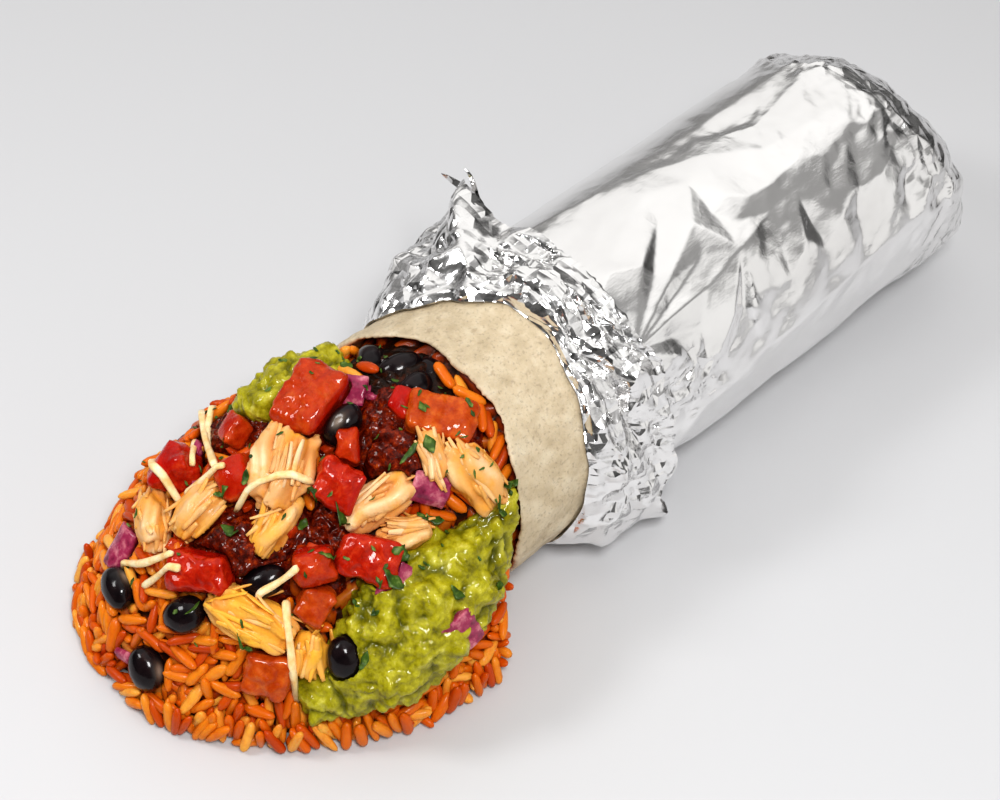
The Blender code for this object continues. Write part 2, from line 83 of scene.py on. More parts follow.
CUFF_FLARE = ((0, 0.008), (20, 0.011), (38, 0.014), (52, 0.011), (68, 0.006), (90, 0.005), (120, 0.0045),
              (150, 0.004), (178, 0.0045), (195, 0.009), (208, 0.012), (222, 0.008), (250, 0.003),
              (290, 0.003), (330, 0.005))

# ---------------------------------------------------------------- fineness and making sizes
FOIL_COLUMNS = 400
FOIL_TURN = math.tau * 0.0365
CORE_DEPTH = 0.0034
CORE_GRAINS = 1500
CORE_TRIES = 24000
CORE_GRAIN_SIZE = (0.0044, 0.0016, 0.0020)
GRAIN_STATIONS = (-0.42, -0.21, 0.0, 0.21, 0.42)
GRAIN_LENGTH = (0.0080, 0.0105)
GRAIN_WIDTH = (0.0027, 0.0034)
GRAIN_COUNT = 1500
GRAIN_TRIES = 60000
PIECE_VOXEL = 0.0007

# ---------------------------------------------------------------- camera
CAMERA_TARGET = Vector((-0.0672, 0.0036, 0.030))
CAMERA_DISTANCE = 0.5573
CAMERA_ELEVATION = 49.3
CAMERA_AZIMUTH = -43.2
CAMERA_LENS = 73.8


# ---------------------------------------------------------------- curves and noise, on numpy arrays
def smooth(edge0, edge1, value):
    """0 before edge0, 1 after edge1, and a smooth ramp between."""
    t = np.clip((value - edge0) / (edge1 - edge0), 0.0, 1.0)
    return t * t * (3 - 2 * t)


def mix(a, b, t):
    return a + (b - a) * t


def bump(degrees, centre, half_width):
    """1 at the centre angle, falling to 0 at half_width degrees to each side."""
    away = np.abs((degrees - centre + 180) % 360 - 180)
    return smooth(half_width, 0, away)


def around(table, degrees):
    """The value of an (angle, value) table at each angle, eased between its entries and closed round."""
    degrees = np.asarray(degrees, float) % 360
    angles = np.array([angle for angle, _ in table] + [table[0][0] + 360], float)
    values = np.array([value for _, value in table] + [table[0][1]])
    i = np.clip(np.searchsorted(angles, degrees, side="right") - 1, 0, len(table) - 1)
    t = smooth(angles[i], angles[i + 1], degrees)
    return mix(values[i], values[i + 1], t)


def ring_noise(degrees, detail, row):
    """Noise that runs round the burrito and closes on itself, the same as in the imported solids."""
    values = []
    for degree in np.ravel(degrees):
        a = math.radians(degree)
        values.append(noise.noise(Vector((math.cos(a) * detail, math.sin(a) * detail, row))))
    return np.array(values).reshape(np.shape(degrees))


def hashed(*cells, seed=0):
    """A random value between -1 and 1 for each whole-numbered cell."""
    h = np.full(np.shape(cells[0]), seed * 40503 + 7, np.int64)
    for cell, prime in zip(cells, (73856093, 19349663, 83492791)):
        h = (h ^ (np.asarray(cell, np.int64) * prime)) & 0x7FFFFFFF
        h = (h * 48271 + 11) % 0x7FFFFFFF
    h = (h ^ (h >> 15)) * 1274126177 & 0x7FFFFFFF
    h = h ^ (h >> 13)
    return (h & 0xFFFF) / 32767.5 - 1


def cloud(points, size, seed=0):
    """Smooth noise between -1 and 1 whose lumps are about size across."""
    q = np.asarray(points) / size
    base = np.floor(q).astype(np.int64)
    part = q - base
    ease = part * part * (3 - 2 * part)
    total = np.zeros(len(q))
    for corner in itertools.product((0, 1), repeat=3):
        weight = np.ones(len(q))
        for axis, side in enumerate(corner):
            weight = weight * (ease[:, axis] if side else 1 - ease[:, axis])
        cells = [base[:, axis] + side for axis, side in enumerate(corner)]
        total += weight * hashed(*cells, seed=seed)
    return total


def lumps(points, size, seed=0, octaves=3, gain=0.5):
    """Noise summed over octaves, each half the size of the one before."""
    total, amount = np.zeros(len(points)), 1.0
    for octave in range(octaves):
        total += amount * cloud(points, size / 2**octave, seed + 17 * octave)
        amount *= gain
    return total


def facets(u, v, cell, seed, wrap, warp=0.45):
    """Relief between -1 and 1 of flat triangles about one cell across that meet in sharp creases.

    u runs along the sheet, v round it, and the pattern closes on itself after wrap.
    """
    columns = max(int(round(wrap / cell)), 3)
    turn = v / wrap * math.tau
    around_point = np.stack([u, wrap / math.tau * np.cos(turn), wrap / math.tau * np.sin(turn)], 1)
    p = u / cell + warp * cloud(around_point, cell * 1.3, seed + 5)
    q = v / wrap * columns + warp * cloud(around_point, cell * 1.3, seed + 6)
    i, j = np.floor(p).astype(np.int64), np.floor(q).astype(np.int64)
    a, b = p - i, q - j
    upper = (a + b > 1).astype(np.int64)
    first = hashed(i + upper, (j + upper) % columns, seed=seed)
    second = hashed(i + 1, j % columns, seed=seed)
    third = hashed(i, (j + 1) % columns, seed=seed)
    low = first + a * (second - first) + b * (third - first)
    high = first + (1 - a) * (third - first) + (1 - b) * (second - first)
    return np.where(upper == 1, high, low)


# ---------------------------------------------------------------- meshes
def grid_faces(rows, columns):
    """Quads of a grid whose columns close round."""
    i, j = np.meshgrid(np.arange(rows - 1), np.arange(columns), indexing="ij")
    k = (j + 1) % columns
    return np.stack([i * columns + j, i * columns + k, (i + 1) * columns + k, (i + 1) * columns + j], -1).reshape(-1, 4)


def grid_normals(points):
    """Outward normals of a (rows, columns, 3) grid that closes round."""
    along = np.gradient(points, axis=0)
    across = np.roll(points, -1, axis=1) - np.roll(points, 1, axis=1)
    normals = np.cross(along, across)
    return normals / np.maximum(np.linalg.norm(normals, axis=-1, keepdims=True), 1e-12)


def add_mesh(name, points, faces, material, attributes=None):
    """A smooth-shaded mesh object, with a value at each point for each named attribute."""
    mesh = bpy.data.meshes.new(name)
    mesh.from_pydata(np.asarray(points).reshape(-1, 3).tolist(), [], np.asarray(faces).tolist())
    mesh.shade_smooth()
    for key, values in (attributes or {}).items():
        layer = mesh.attributes.new(key, "FLOAT", "POINT")
        layer.data.foreach_set("value", np.asarray(values, np.float32).ravel())
    obj = bpy.data.objects.new(name, mesh)
    bpy.context.scene.collection.objects.link(obj)
    obj.data.materials.append(material)
    return obj


def finished(obj, slot, *nodes):
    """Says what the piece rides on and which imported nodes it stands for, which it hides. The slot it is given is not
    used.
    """
    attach(obj, "root")
    if nodes:
        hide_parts(*nodes)
    return obj


# ---------------------------------------------------------------- materials
def principled(name, **values):
    """A Principled material. Socket names are given with _ for spaces."""
    made = bpy.data.materials.new(name)
    made.use_nodes = True
    shader = made.node_tree.nodes["Principled BSDF"]
    for key, value in values.items():
        shader.inputs[key.replace("_", " ")].default_value = value
    return made


def add_node(material, kind, **values):
    made = material.node_tree.nodes.new("ShaderNode" + kind)
    for key, value in values.items():
        if key in made.inputs:
            made.inputs[key].default_value = value
        else:
            setattr(made, key, value)
    return made


def wire(material, source, target):
    material.node_tree.links.new(source, target)


def noise_node(material, size, detail=3.0, rough=0.55, distortion=0.0, stretch=None):
    """Noise between 0 and 1 whose lumps are about size metres across."""
    place = add_node(material, "TexCoord").outputs["Object"]
    if stretch:
        mapping = add_node(material, "Mapping")
        mapping.inputs["Scale"].default_value = stretch
        wire(material, place, mapping.inputs["Vector"])
        place = mapping.outputs["Vector"]
    made = add_node(material, "TexNoise", Scale=1 / size, Detail=detail, Roughness=rough, Distortion=distortion)
    wire(material, place, made.inputs["Vector"])
    return made.outputs["Fac"]


def cells_node(material, size):
    """Pyramids about size metres across that meet in sharp creases."""
    made = add_node(material, "TexVoronoi", distance="MANHATTAN", Scale=1 / size)
    wire(material, add_node(material, "TexCoord").outputs["Object"], made.inputs["Vector"])
    return made.outputs["Distance"]


def attribute_node(material, name):
    return add_node(material, "Attribute", attribute_name=name).outputs["Fac"]


def ramp(material, source, *stops):
    """A colour ramp from (position, (r, g, b)) stops."""
    made = add_node(material, "ValToRGB")
    elements = made.color_ramp.elements
    while len(elements) < len(stops):
        elements.new(0.5)
    for element, (position, colour) in zip(elements, stops):
        element.position = position
        element.color = (*colour, 1)
    wire(material, source, made.inputs["Fac"])
    return made.outputs["Color"]


def to_range(material, source, low, high, start=0.0, end=1.0):
    made = add_node(material, "MapRange")
    for key, value in (("From Min", start), ("From Max", end), ("To Min", low), ("To Max", high)):
        made.inputs[key].default_value = value
    wire(material, source, made.inputs["Value"])
    return made.outputs["Result"]


def blend_colours(material, amount, first, second):
    made = add_node(material, "Mix", data_type="RGBA")
    wire(material, amount, made.inputs["Factor"])
    for value, key in ((first, 6), (second, 7)):
        if isinstance(value, tuple):
            made.inputs[key].default_value = (*value, 1)
        else:
            wire(material, value, made.inputs[key])
    return made.outputs[2]


def bumped(material, source, height, strength=1.0):
    """Adds fine relief of the given height in metres, over any relief that is already there."""
    shader = material.node_tree.nodes["Principled BSDF"]
    made = add_node(material, "Bump", Distance=height, Strength=strength)
    wire(material, source, made.inputs["Height"])
    if shader.inputs["Normal"].links:
        wire(material, shader.inputs["Normal"].links[0].from_socket, made.inputs["Normal"])
    wire(material, made.outputs["Normal"], shader.inputs["Normal"])


def finish_with(material, colour=None, roughness=None):
    shader = material.node_tree.nodes["Principled BSDF"]
    if colour is not None:
        wire(material, colour, shader.inputs["Base Color"])
    if roughness is not None:
        wire(material, roughness, shader.inputs["Roughness"])
    return material


def foil_material():
    made = principled("foil", Metallic=1.0)
    tone = ramp(made, noise_node(made, 0.03, 4), (0.3, (0.86, 0.85, 0.845)), (0.7, (0.94, 0.935, 0.93)))
    rough = to_range(made, noise_node(made, 0.012, 5), 0.12, 0.24, 0.3, 0.7)
    bumped(made, noise_node(made, 0.0022, 3, 0.6, 0.6), 0.00005)
    bumped(made, noise_node(made, 0.0005, 2, 0.5, stretch=(0.25, 1, 1)), 0.00002)
    crushed = attribute_node(made, "crushed")
    crinkle = add_node(made, "Math", operation="MULTIPLY")
    wire(made, cells_node(made, 0.0052), crinkle.inputs[0])
    wire(made, crushed, crinkle.inputs[1])
    bumped(made, crinkle.outputs[0], 0.0011)
    return finish_with(made, tone, rough)


def tortilla_material():
    made = principled("tortilla", Subsurface_Weight=0.06, Subsurface_Radius=(0.003, 0.002, 0.001),
                      Subsurface_Scale=1.0)
    base = ramp(made, noise_node(made, 0.006, 5, 0.62), (0.30, (0.45, 0.36, 0.235)), (0.5, (0.56, 0.46, 0.315)),
                (0.72, (0.66, 0.57, 0.42)))
    flecks = to_range(made, noise_node(made, 0.0009, 2, 0.6), 0.0, 0.45, 0.55, 0.70)
    flecked = blend_colours(made, flecks, base, (0.25, 0.20, 0.145))
    spots = to_range(made, noise_node(made, 0.0026, 3, 0.6), 0.0, 0.5, 0.60, 0.70)
    spotted = blend_colours(made, spots, flecked, (0.33, 0.25, 0.16))
    stained = blend_colours(made, attribute_node(made, "stain"), spotted, (0.62, 0.22, 0.04))
    bumped(made, noise_node(made, 0.0016, 4, 0.6), 0.00025)
    return finish_with(made, stained, to_range(made, noise_node(made, 0.004, 3), 0.55, 0.8))


def rice_material(name, shade_factor, gap_shade):
    """Stained grains. Their colours are scaled by the second argument, which below 1 paints shade on the core under the
    loose grains; the third is the colour where their tone is 0, which on the core is near-black painted shade between
    the grains.
    """
    made = principled(name, Subsurface_Weight=0.2, Subsurface_Radius=(0.003, 0.0012, 0.0004),
                      Subsurface_Scale=1.0, Specular_IOR_Level=0.2, Coat_Weight=0.15, Coat_Roughness=0.12)
    tone = attribute_node(made, "tone")
    base = ramp(made, tone, (0.0, gap_shade), (0.12, (0.48 * shade_factor, 0.058 * shade_factor, 0.001)),
                (0.4, (0.64 * shade_factor, 0.120 * shade_factor, 0.002)),
                (0.75, (0.75 * shade_factor, 0.225 * shade_factor, 0.010)),
                (1.0, (0.86 * shade_factor, 0.42 * shade_factor, 0.070)))
    patch = to_range(made, noise_node(made, 0.0025, 3), 0.0, 0.45, 0.48, 0.75)
    mottled = blend_colours(made, patch, base, (0.54 * shade_factor, 0.080 * shade_factor, 0.001))
    bumped(made, noise_node(made, 0.0009, 3), 0.00010)
    return finish_with(made, mottled, to_range(made, noise_node(made, 0.003, 3), 0.28, 0.5))


def guacamole_material():
    made = principled("guacamole", Subsurface_Weight=0.12, Subsurface_Radius=(0.002, 0.002, 0.0004),
                      Subsurface_Scale=1.0, Specular_IOR_Level=0.1, Coat_Weight=0.42, Coat_Roughness=0.05)
    base = ramp(made, noise_node(made, 0.0045, 6, 0.68), (0.32, (0.14, 0.125, 0.002)), (0.46, (0.31, 0.275, 0.006)),
                (0.58, (0.45, 0.405, 0.020)), (0.74, (0.70, 0.65, 0.14)))
    # Painted shade: the mash darkens to a near-black olive in its hollows, where its relief is low.
    deep = blend_colours(made, attribute_node(made, "hollow"), base, (0.085, 0.085, 0.002))
    bumped(made, noise_node(made, 0.0015, 4, 0.65), 0.00035)
    return finish_with(made, deep, to_range(made, noise_node(made, 0.003, 3), 0.2, 0.45))


def salsa_material():
    made = principled("salsa", Specular_IOR_Level=0.05, Coat_Weight=0.38, Coat_Roughness=0.03)
    base = ramp(made, noise_node(made, 0.0020, 6, 0.75), (0.32, (0.018, 0.0012, 0.0003)), (0.48, (0.070, 0.0045, 0.0008)),
                (0.60, (0.22, 0.018, 0.001)), (0.76, (0.58, 0.14, 0.012)))
    bumped(made, noise_node(made, 0.0008, 3, 0.7), 0.0003)
    return finish_with(made, base, to_range(made, noise_node(made, 0.002, 3), 0.12, 0.35))


def bean_mash_material():
    made = principled("bean_mash", Specular_IOR_Level=0.08, Coat_Weight=0.22, Coat_Roughness=0.05)
    base = ramp(made, noise_node(made, 0.0030, 6, 0.7), (0.35, (0.005, 0.003, 0.0025)), (0.52, (0.016, 0.007, 0.004)),
                (0.70, (0.07, 0.014, 0.004)))
    bumped(made, noise_node(made, 0.0010, 3, 0.7), 0.0003)
    return finish_with(made, base, to_range(made, noise_node(made, 0.002, 3), 0.12, 0.35))


def tomato_material():
    made = principled("tomato", Subsurface_Weight=0.12, Subsurface_Radius=(0.003, 0.0006, 0.0003),
                      Subsurface_Scale=1.0, Specular_IOR_Level=0.08, Coat_Weight=0.42, Coat_Roughness=0.04)
    flesh = ramp(made, noise_node(made, 0.0032, 6, 0.7, 0.8), (0.30, (0.24, 0.003, 0.001)),
                 (0.50, (0.42, 0.010, 0.002)), (0.66, (0.56, 0.042, 0.010)), (0.80, (0.76, 0.20, 0.08)))
    ripe = ramp(made, noise_node(made, 0.0040, 5, 0.65), (0.35, (0.34, 0.036, 0.002)), (0.55, (0.50, 0.080, 0.005)),
                (0.75, (0.66, 0.18, 0.018)))
    warmed = blend_colours(made, attribute_node(made, "warm"), flesh, ripe)
    skin = ramp(made, noise_node(made, 0.005, 4, 0.6), (0.3, (0.30, 0.003, 0.001)), (0.6, (0.44, 0.006, 0.001)),
                (0.8, (0.55, 0.020, 0.004)))
    colour = blend_colours(made, attribute_node(made, "skin"), warmed, skin)
    bumped(made, noise_node(made, 0.0012, 4, 0.65), 0.00025)
    return finish_with(made, colour, to_range(made, noise_node(made, 0.002, 3), 0.14, 0.42, 0.35, 0.7))


def bean_material():
    made = principled("bean", Specular_IOR_Level=0.12, Coat_Weight=0.35, Coat_Roughness=0.04)
    base = ramp(made, noise_node(made, 0.004, 4), (0.35, (0.005, 0.003, 0.004)), (0.6, (0.012, 0.006, 0.007)),
                (0.8, (0.035, 0.013, 0.010)))
    marked = blend_colours(made, attribute_node(made, "hilum"), base, (0.35, 0.28, 0.22))
    bumped(made, noise_node(made, 0.0020, 3), 0.00012)
    return finish_with(made, marked, to_range(made, noise_node(made, 0.003, 3), 0.14, 0.3))


def chicken_material():
    made = principled("chicken", Subsurface_Weight=0.12, Subsurface_Radius=(0.003, 0.0015, 0.0008),
                      Subsurface_Scale=1.0, Specular_IOR_Level=0.25, Coat_Weight=0.15, Coat_Roughness=0.15)
    # Low tone is dark brown: painted shade in the grooves between the chicken's ridges; higher tones are its pale
    # flesh.
    base = ramp(made, attribute_node(made, "tone"), (0.0, (0.18, 0.030, 0.003)), (0.25, (0.52, 0.165, 0.028)),
                (0.55, (0.72, 0.34, 0.115)), (0.8, (0.77, 0.43, 0.195)), (1.0, (0.87, 0.63, 0.38)))
    stain = to_range(made, noise_node(made, 0.006, 4), 0.0, 0.8, 0.48, 0.68)
    stained = blend_colours(made, stain, base, (0.82, 0.34, 0.03))
    golden = blend_colours(made, attribute_node(made, "golden"), stained, (0.90, 0.43, 0.045))
    bumped(made, noise_node(made, 0.0009, 4, 0.65), 0.00018)
    return finish_with(made, golden, to_range(made, noise_node(made, 0.003, 3), 0.3, 0.55))


def onion_material():
    made = principled("onion", Subsurface_Weight=0.15, Subsurface_Radius=(0.003, 0.0015, 0.002),
                      Subsurface_Scale=1.0, Specular_IOR_Level=0.3, Coat_Weight=0.25, Coat_Roughness=0.08)
    base = ramp(made, noise_node(made, 0.003, 4), (0.3, (0.14, 0.007, 0.035)), (0.5, (0.33, 0.032, 0.090)),
                (0.75, (0.70, 0.27, 0.30)))
    bumped(made, noise_node(made, 0.0010, 2), 0.0001)
    return finish_with(made, base, to_range(made, noise_node(made, 0.003, 3), 0.18, 0.35))


def herb_material():
    made = principled("herb", Specular_IOR_Level=0.25)
    base = ramp(made, noise_node(made, 0.0022, 4), (0.35, (0.020, 0.045, 0.006)), (0.55, (0.055, 0.11, 0.012)),
                (0.78, (0.26, 0.34, 0.09)))
    return finish_with(made, base, to_range(made, noise_node(made, 0.002, 2), 0.3, 0.5))


def cheese_material():
    made = principled("cheese", Subsurface_Weight=0.2, Subsurface_Radius=(0.003, 0.002, 0.001),
                      Subsurface_Scale=1.0, Specular_IOR_Level=0.25)
    base = ramp(made, noise_node(made, 0.004, 3), (0.35, (0.86, 0.52, 0.20)), (0.55, (0.95, 0.74, 0.42)),
                (0.75, (0.98, 0.87, 0.62)))
    bumped(made, noise_node(made, 0.0010, 3), 0.00010)
    return finish_with(made, base, to_range(made, noise_node(made, 0.003, 2), 0.35, 0.5))


# ---------------------------------------------------------------- the burrito's section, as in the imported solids
def oval(degrees, offset):
    """(y, z) on the body's section, moved out by offset, and flat where it rests."""
    a = np.radians(degrees)
    y = (BODY_WIDTH / 2 + offset) * np.cos(a)
    z = AXIS_HEIGHT + (BODY_HEIGHT / 2 + offset) * np.sin(a)
    return y, np.maximum(z, 0.0)


def set_back(degrees):
    """How far the slanting far end stands back at an angle, with a dip beside the fold."""
    slant = 0.5 + 0.5 * np.cos(np.radians(degrees - FAR_SET_BACK_DEG))
    return FAR_SET_BACK * slant + FAR_FOLD_DIP * bump(degrees, 58, 26)


def end_row(degrees, inset, turn_deg):
    """A ring on the rounded far corner: turn 0 is where the straight side ends, 90 is the flat end."""
    corner = FAR_CORNER - inset
    turn = math.radians(turn_deg)
    x = FAR_END_X - FAR_CORNER + corner * math.sin(turn) - set_back(degrees)
    y, z = oval(degrees, -inset - corner * (1 - math.cos(turn)))
    return np.stack([x, y, z], -1)


def end_tip(inset):
    return np.array([FAR_END_X - FAR_SET_BACK / 2 - FAR_DIMPLE - inset, 0, AXIS_HEIGHT])


def row_at(x, degrees, offset):
    y, z = oval(degrees, offset)
    return np.stack([np.broadcast_to(x, y.shape), y, z], -1)


# ---------------------------------------------------------------- foil
def cuff_back(degrees):
    """X of the cuff's torn edge, which wanders round the burrito."""
    ragged = ring_noise(degrees, 2.3, 5.1)
    wander = 0.006 * bump(degrees, HORN_DEG, 24) - 0.005 * bump(degrees, 195, 40)
    torn = 0.0007 * ring_noise(degrees, 24, 3.3) + 0.0004 * ring_noise(degrees, 60, 1.7)
    return CUFF_BACK_X + 0.007 * ragged + wander + torn


# Folds on the wrapped body: chains of places, each (x in mm, degrees, height in mm). Straight
# creases run between neighbours, and the foil is pulled nearly flat between the chains.
FOLDS = (
    # a pinched point on top, with folds running up, down and along
    ((-4, 125, 1.2), (-2, 106, -0.9), (0, 89, 0.3)),
    ((-4, 125, 1.2), (1, 115, -0.2), (4, 104, 0.6)),
    ((-4, 125, 1.2), (-16, 146, 0.9), (-29, 163, 0.6)),
    ((-4, 125, 1.2), (-11, 146, -1.2), (-24, 165, -0.5)),
    ((-4, 125, 1.2), (-8, 148, 0.8), (-6, 171, 0.2)),
    # a fan of folds from a point under the cuff
    ((-49, 134, 0.4), (-31, 108, 0.7), (-13, 83, 0.8)),
    ((-49, 134, 0.4), (-30, 114, -0.4), (-16, 95, -0.2)),
    ((-49, 134, 0.4), (-29, 120, 0.5), (-10, 106, 0.5)),
    ((-49, 134, 0.4), (-30, 126, -0.4), (-14, 118, -0.5)),
    ((-49, 134, 0.4), (-32, 131, 0.5), (-19, 130, 0.3)),
    ((-49, 134, 0.4), (-36, 138, -0.8), (-26, 142, -1.2)),
    ((-49, 134, 0.4), (-38, 145, 0.7), (-32, 154, 0.6)),
    ((-44, 96, -0.3), (-40, 103, 0.6), (-36, 98, -0.4)),
    ((-25, 78, -0.5), (-19, 86, 0.4)),
    # the ridge between the far flank and the top
    ((-45, 58, 0.2), (-19, 67, 0.6), (-4, 72, 0.3), (9, 83, 0.7), (25, 97, 0.5), (41, 99, 0.8), (57, 100, 0.5)),
    ((15, 72, -0.5), (22, 78, -0.9), (30, 85, -0.3)),
    # the zigzag between the top and the near flank, and the folds below it
    ((9, 110, 0.8), (12, 120, 0.0), (18, 111, 0.8), (22, 120, 0.0), (29, 109, 0.9), (38, 114, 0.4),
     (50, 109, 0.8), (60, 116, 0.7)),
    ((-6, 144, 0.0), (7, 149, 0.3), (16, 139, 0.9), (22, 146, -0.2), (31, 139, 0.8), (38, 133, 0.6),
     (50, 134, 0.9), (60, 127, 0.6)),
    ((36, 152, -0.5), (45, 146, 0.4), (56, 150, -0.2)),
    ((-2, 160, -0.4), (9, 156, 0.5), (20, 160, -0.4), (31, 154, 0.4)),
    # the long edge of the sheet above the near side's smooth strip
    ((-34, 172, 0.3), (-20, 176, 0.7), (-8, 170, 0.2), (10, 168, 0.8), (30, 166, 0.3), (45, 162, 0.8),
     (60, 160, 0.5)),
    ((-36, 196, 0.0), (0, 198, 0.3), (38, 194, 0.0), (60, 190, 0.2)),
    # the crumpled knot below the cuff
    ((-48, 150, 0.2), (-42, 158, -1.3), (-38, 164, 1.2), (-32, 166, -0.8), (-27, 172, 1.2)),
    ((-46, 164, 1.0), (-40, 170, -0.9), (-34, 178, 0.6)),
    ((-48, 178, -0.4), (-40, 188, 0.6), (-30, 186, -0.3)),
    # the hidden side
    ((-45, 20, 0.2), (-10, 30, 0.0), (25, 22, 0.2), (60, 34, 0.0)),
    ((-44, 345, 0.4), (-22, 352, -0.6), (2, 340, 0.7), (28, 350, -0.5), (60, 343, 0.4)),
    ((-40, 318, -0.3), (-12, 322, 0.5), (16, 312, -0.4), (42, 322, 0.5), (60, 314, 0.0)),
    ((-42, 232, 0.2), (-14, 224, -0.5), (12, 232, 0.6), (36, 222, -0.4), (60, 228, 0.2)),
    ((-30, 208, 0.6), (-4, 214, -0.5), (22, 208, 0.5), (48, 212, -0.4)),
)
FOLD_ENDS_X = (-0.062, 0.066)
FOLD_FLATNESS = 0.66
FOLD_DEPTH = 0.0016
FOIL_TOP = 0.0752
FOIL_CREASE = 42
MM_PER_DEGREE = 0.637
# Patches where the foil lies smooth: place (x, degrees), half-size (x, degrees), how calm.
FOIL_CALM = (
    ((0.010, 42), (0.075, 30), 0.97),
    ((-0.010, 98), (0.045, 30), 0.80),
    ((-0.020, 140), (0.024, 16), 0.80),
    ((0.030, 100), (0.026, 12), 0.55),
    ((0.000, 190), (0.075, 16), 0.80),
)


def fold_net():
    """The triangles between the fold points: flat-sheet places, heights and corner numbers."""
    places, heights, edges = [], [], []
    ends = [((x * 1000, angle, 0.0),) for x in FOLD_ENDS_X for angle in range(0, 360, 24)]
    for turn in (-360, 0, 360):
        for chain in (*FOLDS, *ends):
            shifted = [(x, angle + turn, height) for x, angle, height in chain]
            if not all(-70 < angle < 430 for _, angle, _ in shifted):
                continue
            start = len(places)
            places += [Vector((x, angle * MM_PER_DEGREE)) for x, angle, _ in shifted]
            heights += [height / 1000 for _, _, height in shifted]
            edges += [(start + i, start + i + 1) for i in range(len(shifted) - 1)]
    found, _, triangles, origins, _, _ = delaunay_2d_cdt(places, edges, [], 0, 1e-4)
    levels = [heights[origin[0]] if origin else 0.0 for origin in origins]
    return np.array([tuple(p) for p in found]), np.array(levels), triangles


def folded(x, degrees, base, normals):
    """Pulls the smooth foil on to the flat triangles between its folds."""
    places, levels, triangles = fold_net()
    angles = places[:, 1] / MM_PER_DEGREE
    y, z = oval(angles, levels)
    corners = np.stack([places[:, 0] / 1000, y, z], 1)
    u, v = x * 1000, degrees * MM_PER_DEGREE
    flat = base.copy()
    height = np.zeros(len(x))
    for a, b, c in triangles:
        (ax, ay), (bx, by), (cx, cy) = places[a], places[b], places[c]
        boxed = (u >= min(ax, bx, cx)) & (u <= max(ax, bx, cx)) & (v >= min(ay, by, cy)) & (v <= max(ay, by, cy))
        some = np.flatnonzero(boxed)
        size = (bx - ax) * (cy - ay) - (cx - ax) * (by - ay)
        if not len(some) or abs(size) < 1e-9:
            continue
        second = ((u[some] - ax) * (cy - ay) - (cx - ax) * (v[some] - ay)) / size
        third = ((bx - ax) * (v[some] - ay) - (u[some] - ax) * (by - ay)) / size
        first = 1 - second - third
        within = (first >= -1e-6) & (second >= -1e-6) & (third >= -1e-6)
        some, weights = some[within], np.stack([first, second, third], 1)[within]
        flat[some] = weights @ corners[[a, b, c]]
        height[some] = weights @ levels[[a, b, c]]
    curved = base + normals * height[:, None]
    share = FOLD_FLATNESS * smooth(FOLD_ENDS_X[1], 0.052, x) * smooth(-0.062, -0.056, x)
    share = share * (1 - 0.96 * smooth(80, 64, degrees) * smooth(0, 18, degrees))
    moved = (flat - curved) * share[:, None]
    inward = (moved * normals).sum(1)
    moved += normals * (np.maximum(inward, -FOLD_DEPTH) - inward)[:, None]
    return curved + moved


def body_relief(u, v, degrees):
    """Height of the finer creases on the wrapped foil."""
    calm = np.zeros_like(u)
    for (x, angle), (half_x, half_angle), amount in FOIL_CALM:
        away = np.hypot((u - x) / half_x, ((degrees - angle + 180) % 360 - 180) / half_angle)
        calm = np.maximum(calm, amount * smooth(1.15, 0.6, away))
    busy = 1 - calm
    crushed = smooth(0.048, 0.066, u) * (1 - 0.8 * bump(degrees, 94, 15)) * (1 - 0.7 * bump(degrees, 132, 14))
    knot = smooth(1.2, 0.3, np.hypot((u + 0.038) / 0.016, (degrees - 162) / 18))
    h = 0.00040 * facets(u, v, 0.0130, 1, FOIL_TURN) * (0.25 + busy + crushed)
    h += 0.00028 * facets(u, v, 0.0062, 2, FOIL_TURN) * (busy + 2.6 * crushed + 2.2 * knot)
    h += 0.00013 * facets(u, v, 0.0034, 3, FOIL_TURN) * (busy + 3.6 * crushed + 4.5 * knot)
    patches = smooth(-0.1, 0.5, facets(u, v, 0.016, 9, FOIL_TURN, 0.8))
    h += 0.00007 * facets(u, v, 0.0021, 4, FOIL_TURN) * (0.15 + busy * patches + 3.0 * crushed + 3.0 * knot)
    return h


def cuff_relief(along, degrees, v, seed):
    """Crumples of the turned-back cuff, long in the direction that runs round it."""
    u = along * 0.030
    calm = np.maximum(0.85 * bump(degrees, 64, 9), 0.8 * bump(degrees, 208, 18))
    busy = 1 - calm * smooth(0.95, 0.7, along)
    h = 0.0029 * facets(u, v * 0.55, 0.0082, seed + 21, FOIL_TURN * 0.55) * busy
    h += 0.0015 * facets(u, v * 0.35, 0.0037, seed + 22, FOIL_TURN * 0.35) * busy
    h += 0.00042 * facets(u, v * 0.8, 0.0020, seed + 23, FOIL_TURN * 0.8) * (0.15 + 0.85 * busy)
    if seed == 0:
        fold = degrees - (50 + 26 * along)
        h += 0.0030 * np.maximum(1 - np.abs(fold) / 7, 0) - 0.0012 * np.maximum(1 - np.abs(fold - 11) / 5, 0)
    return h


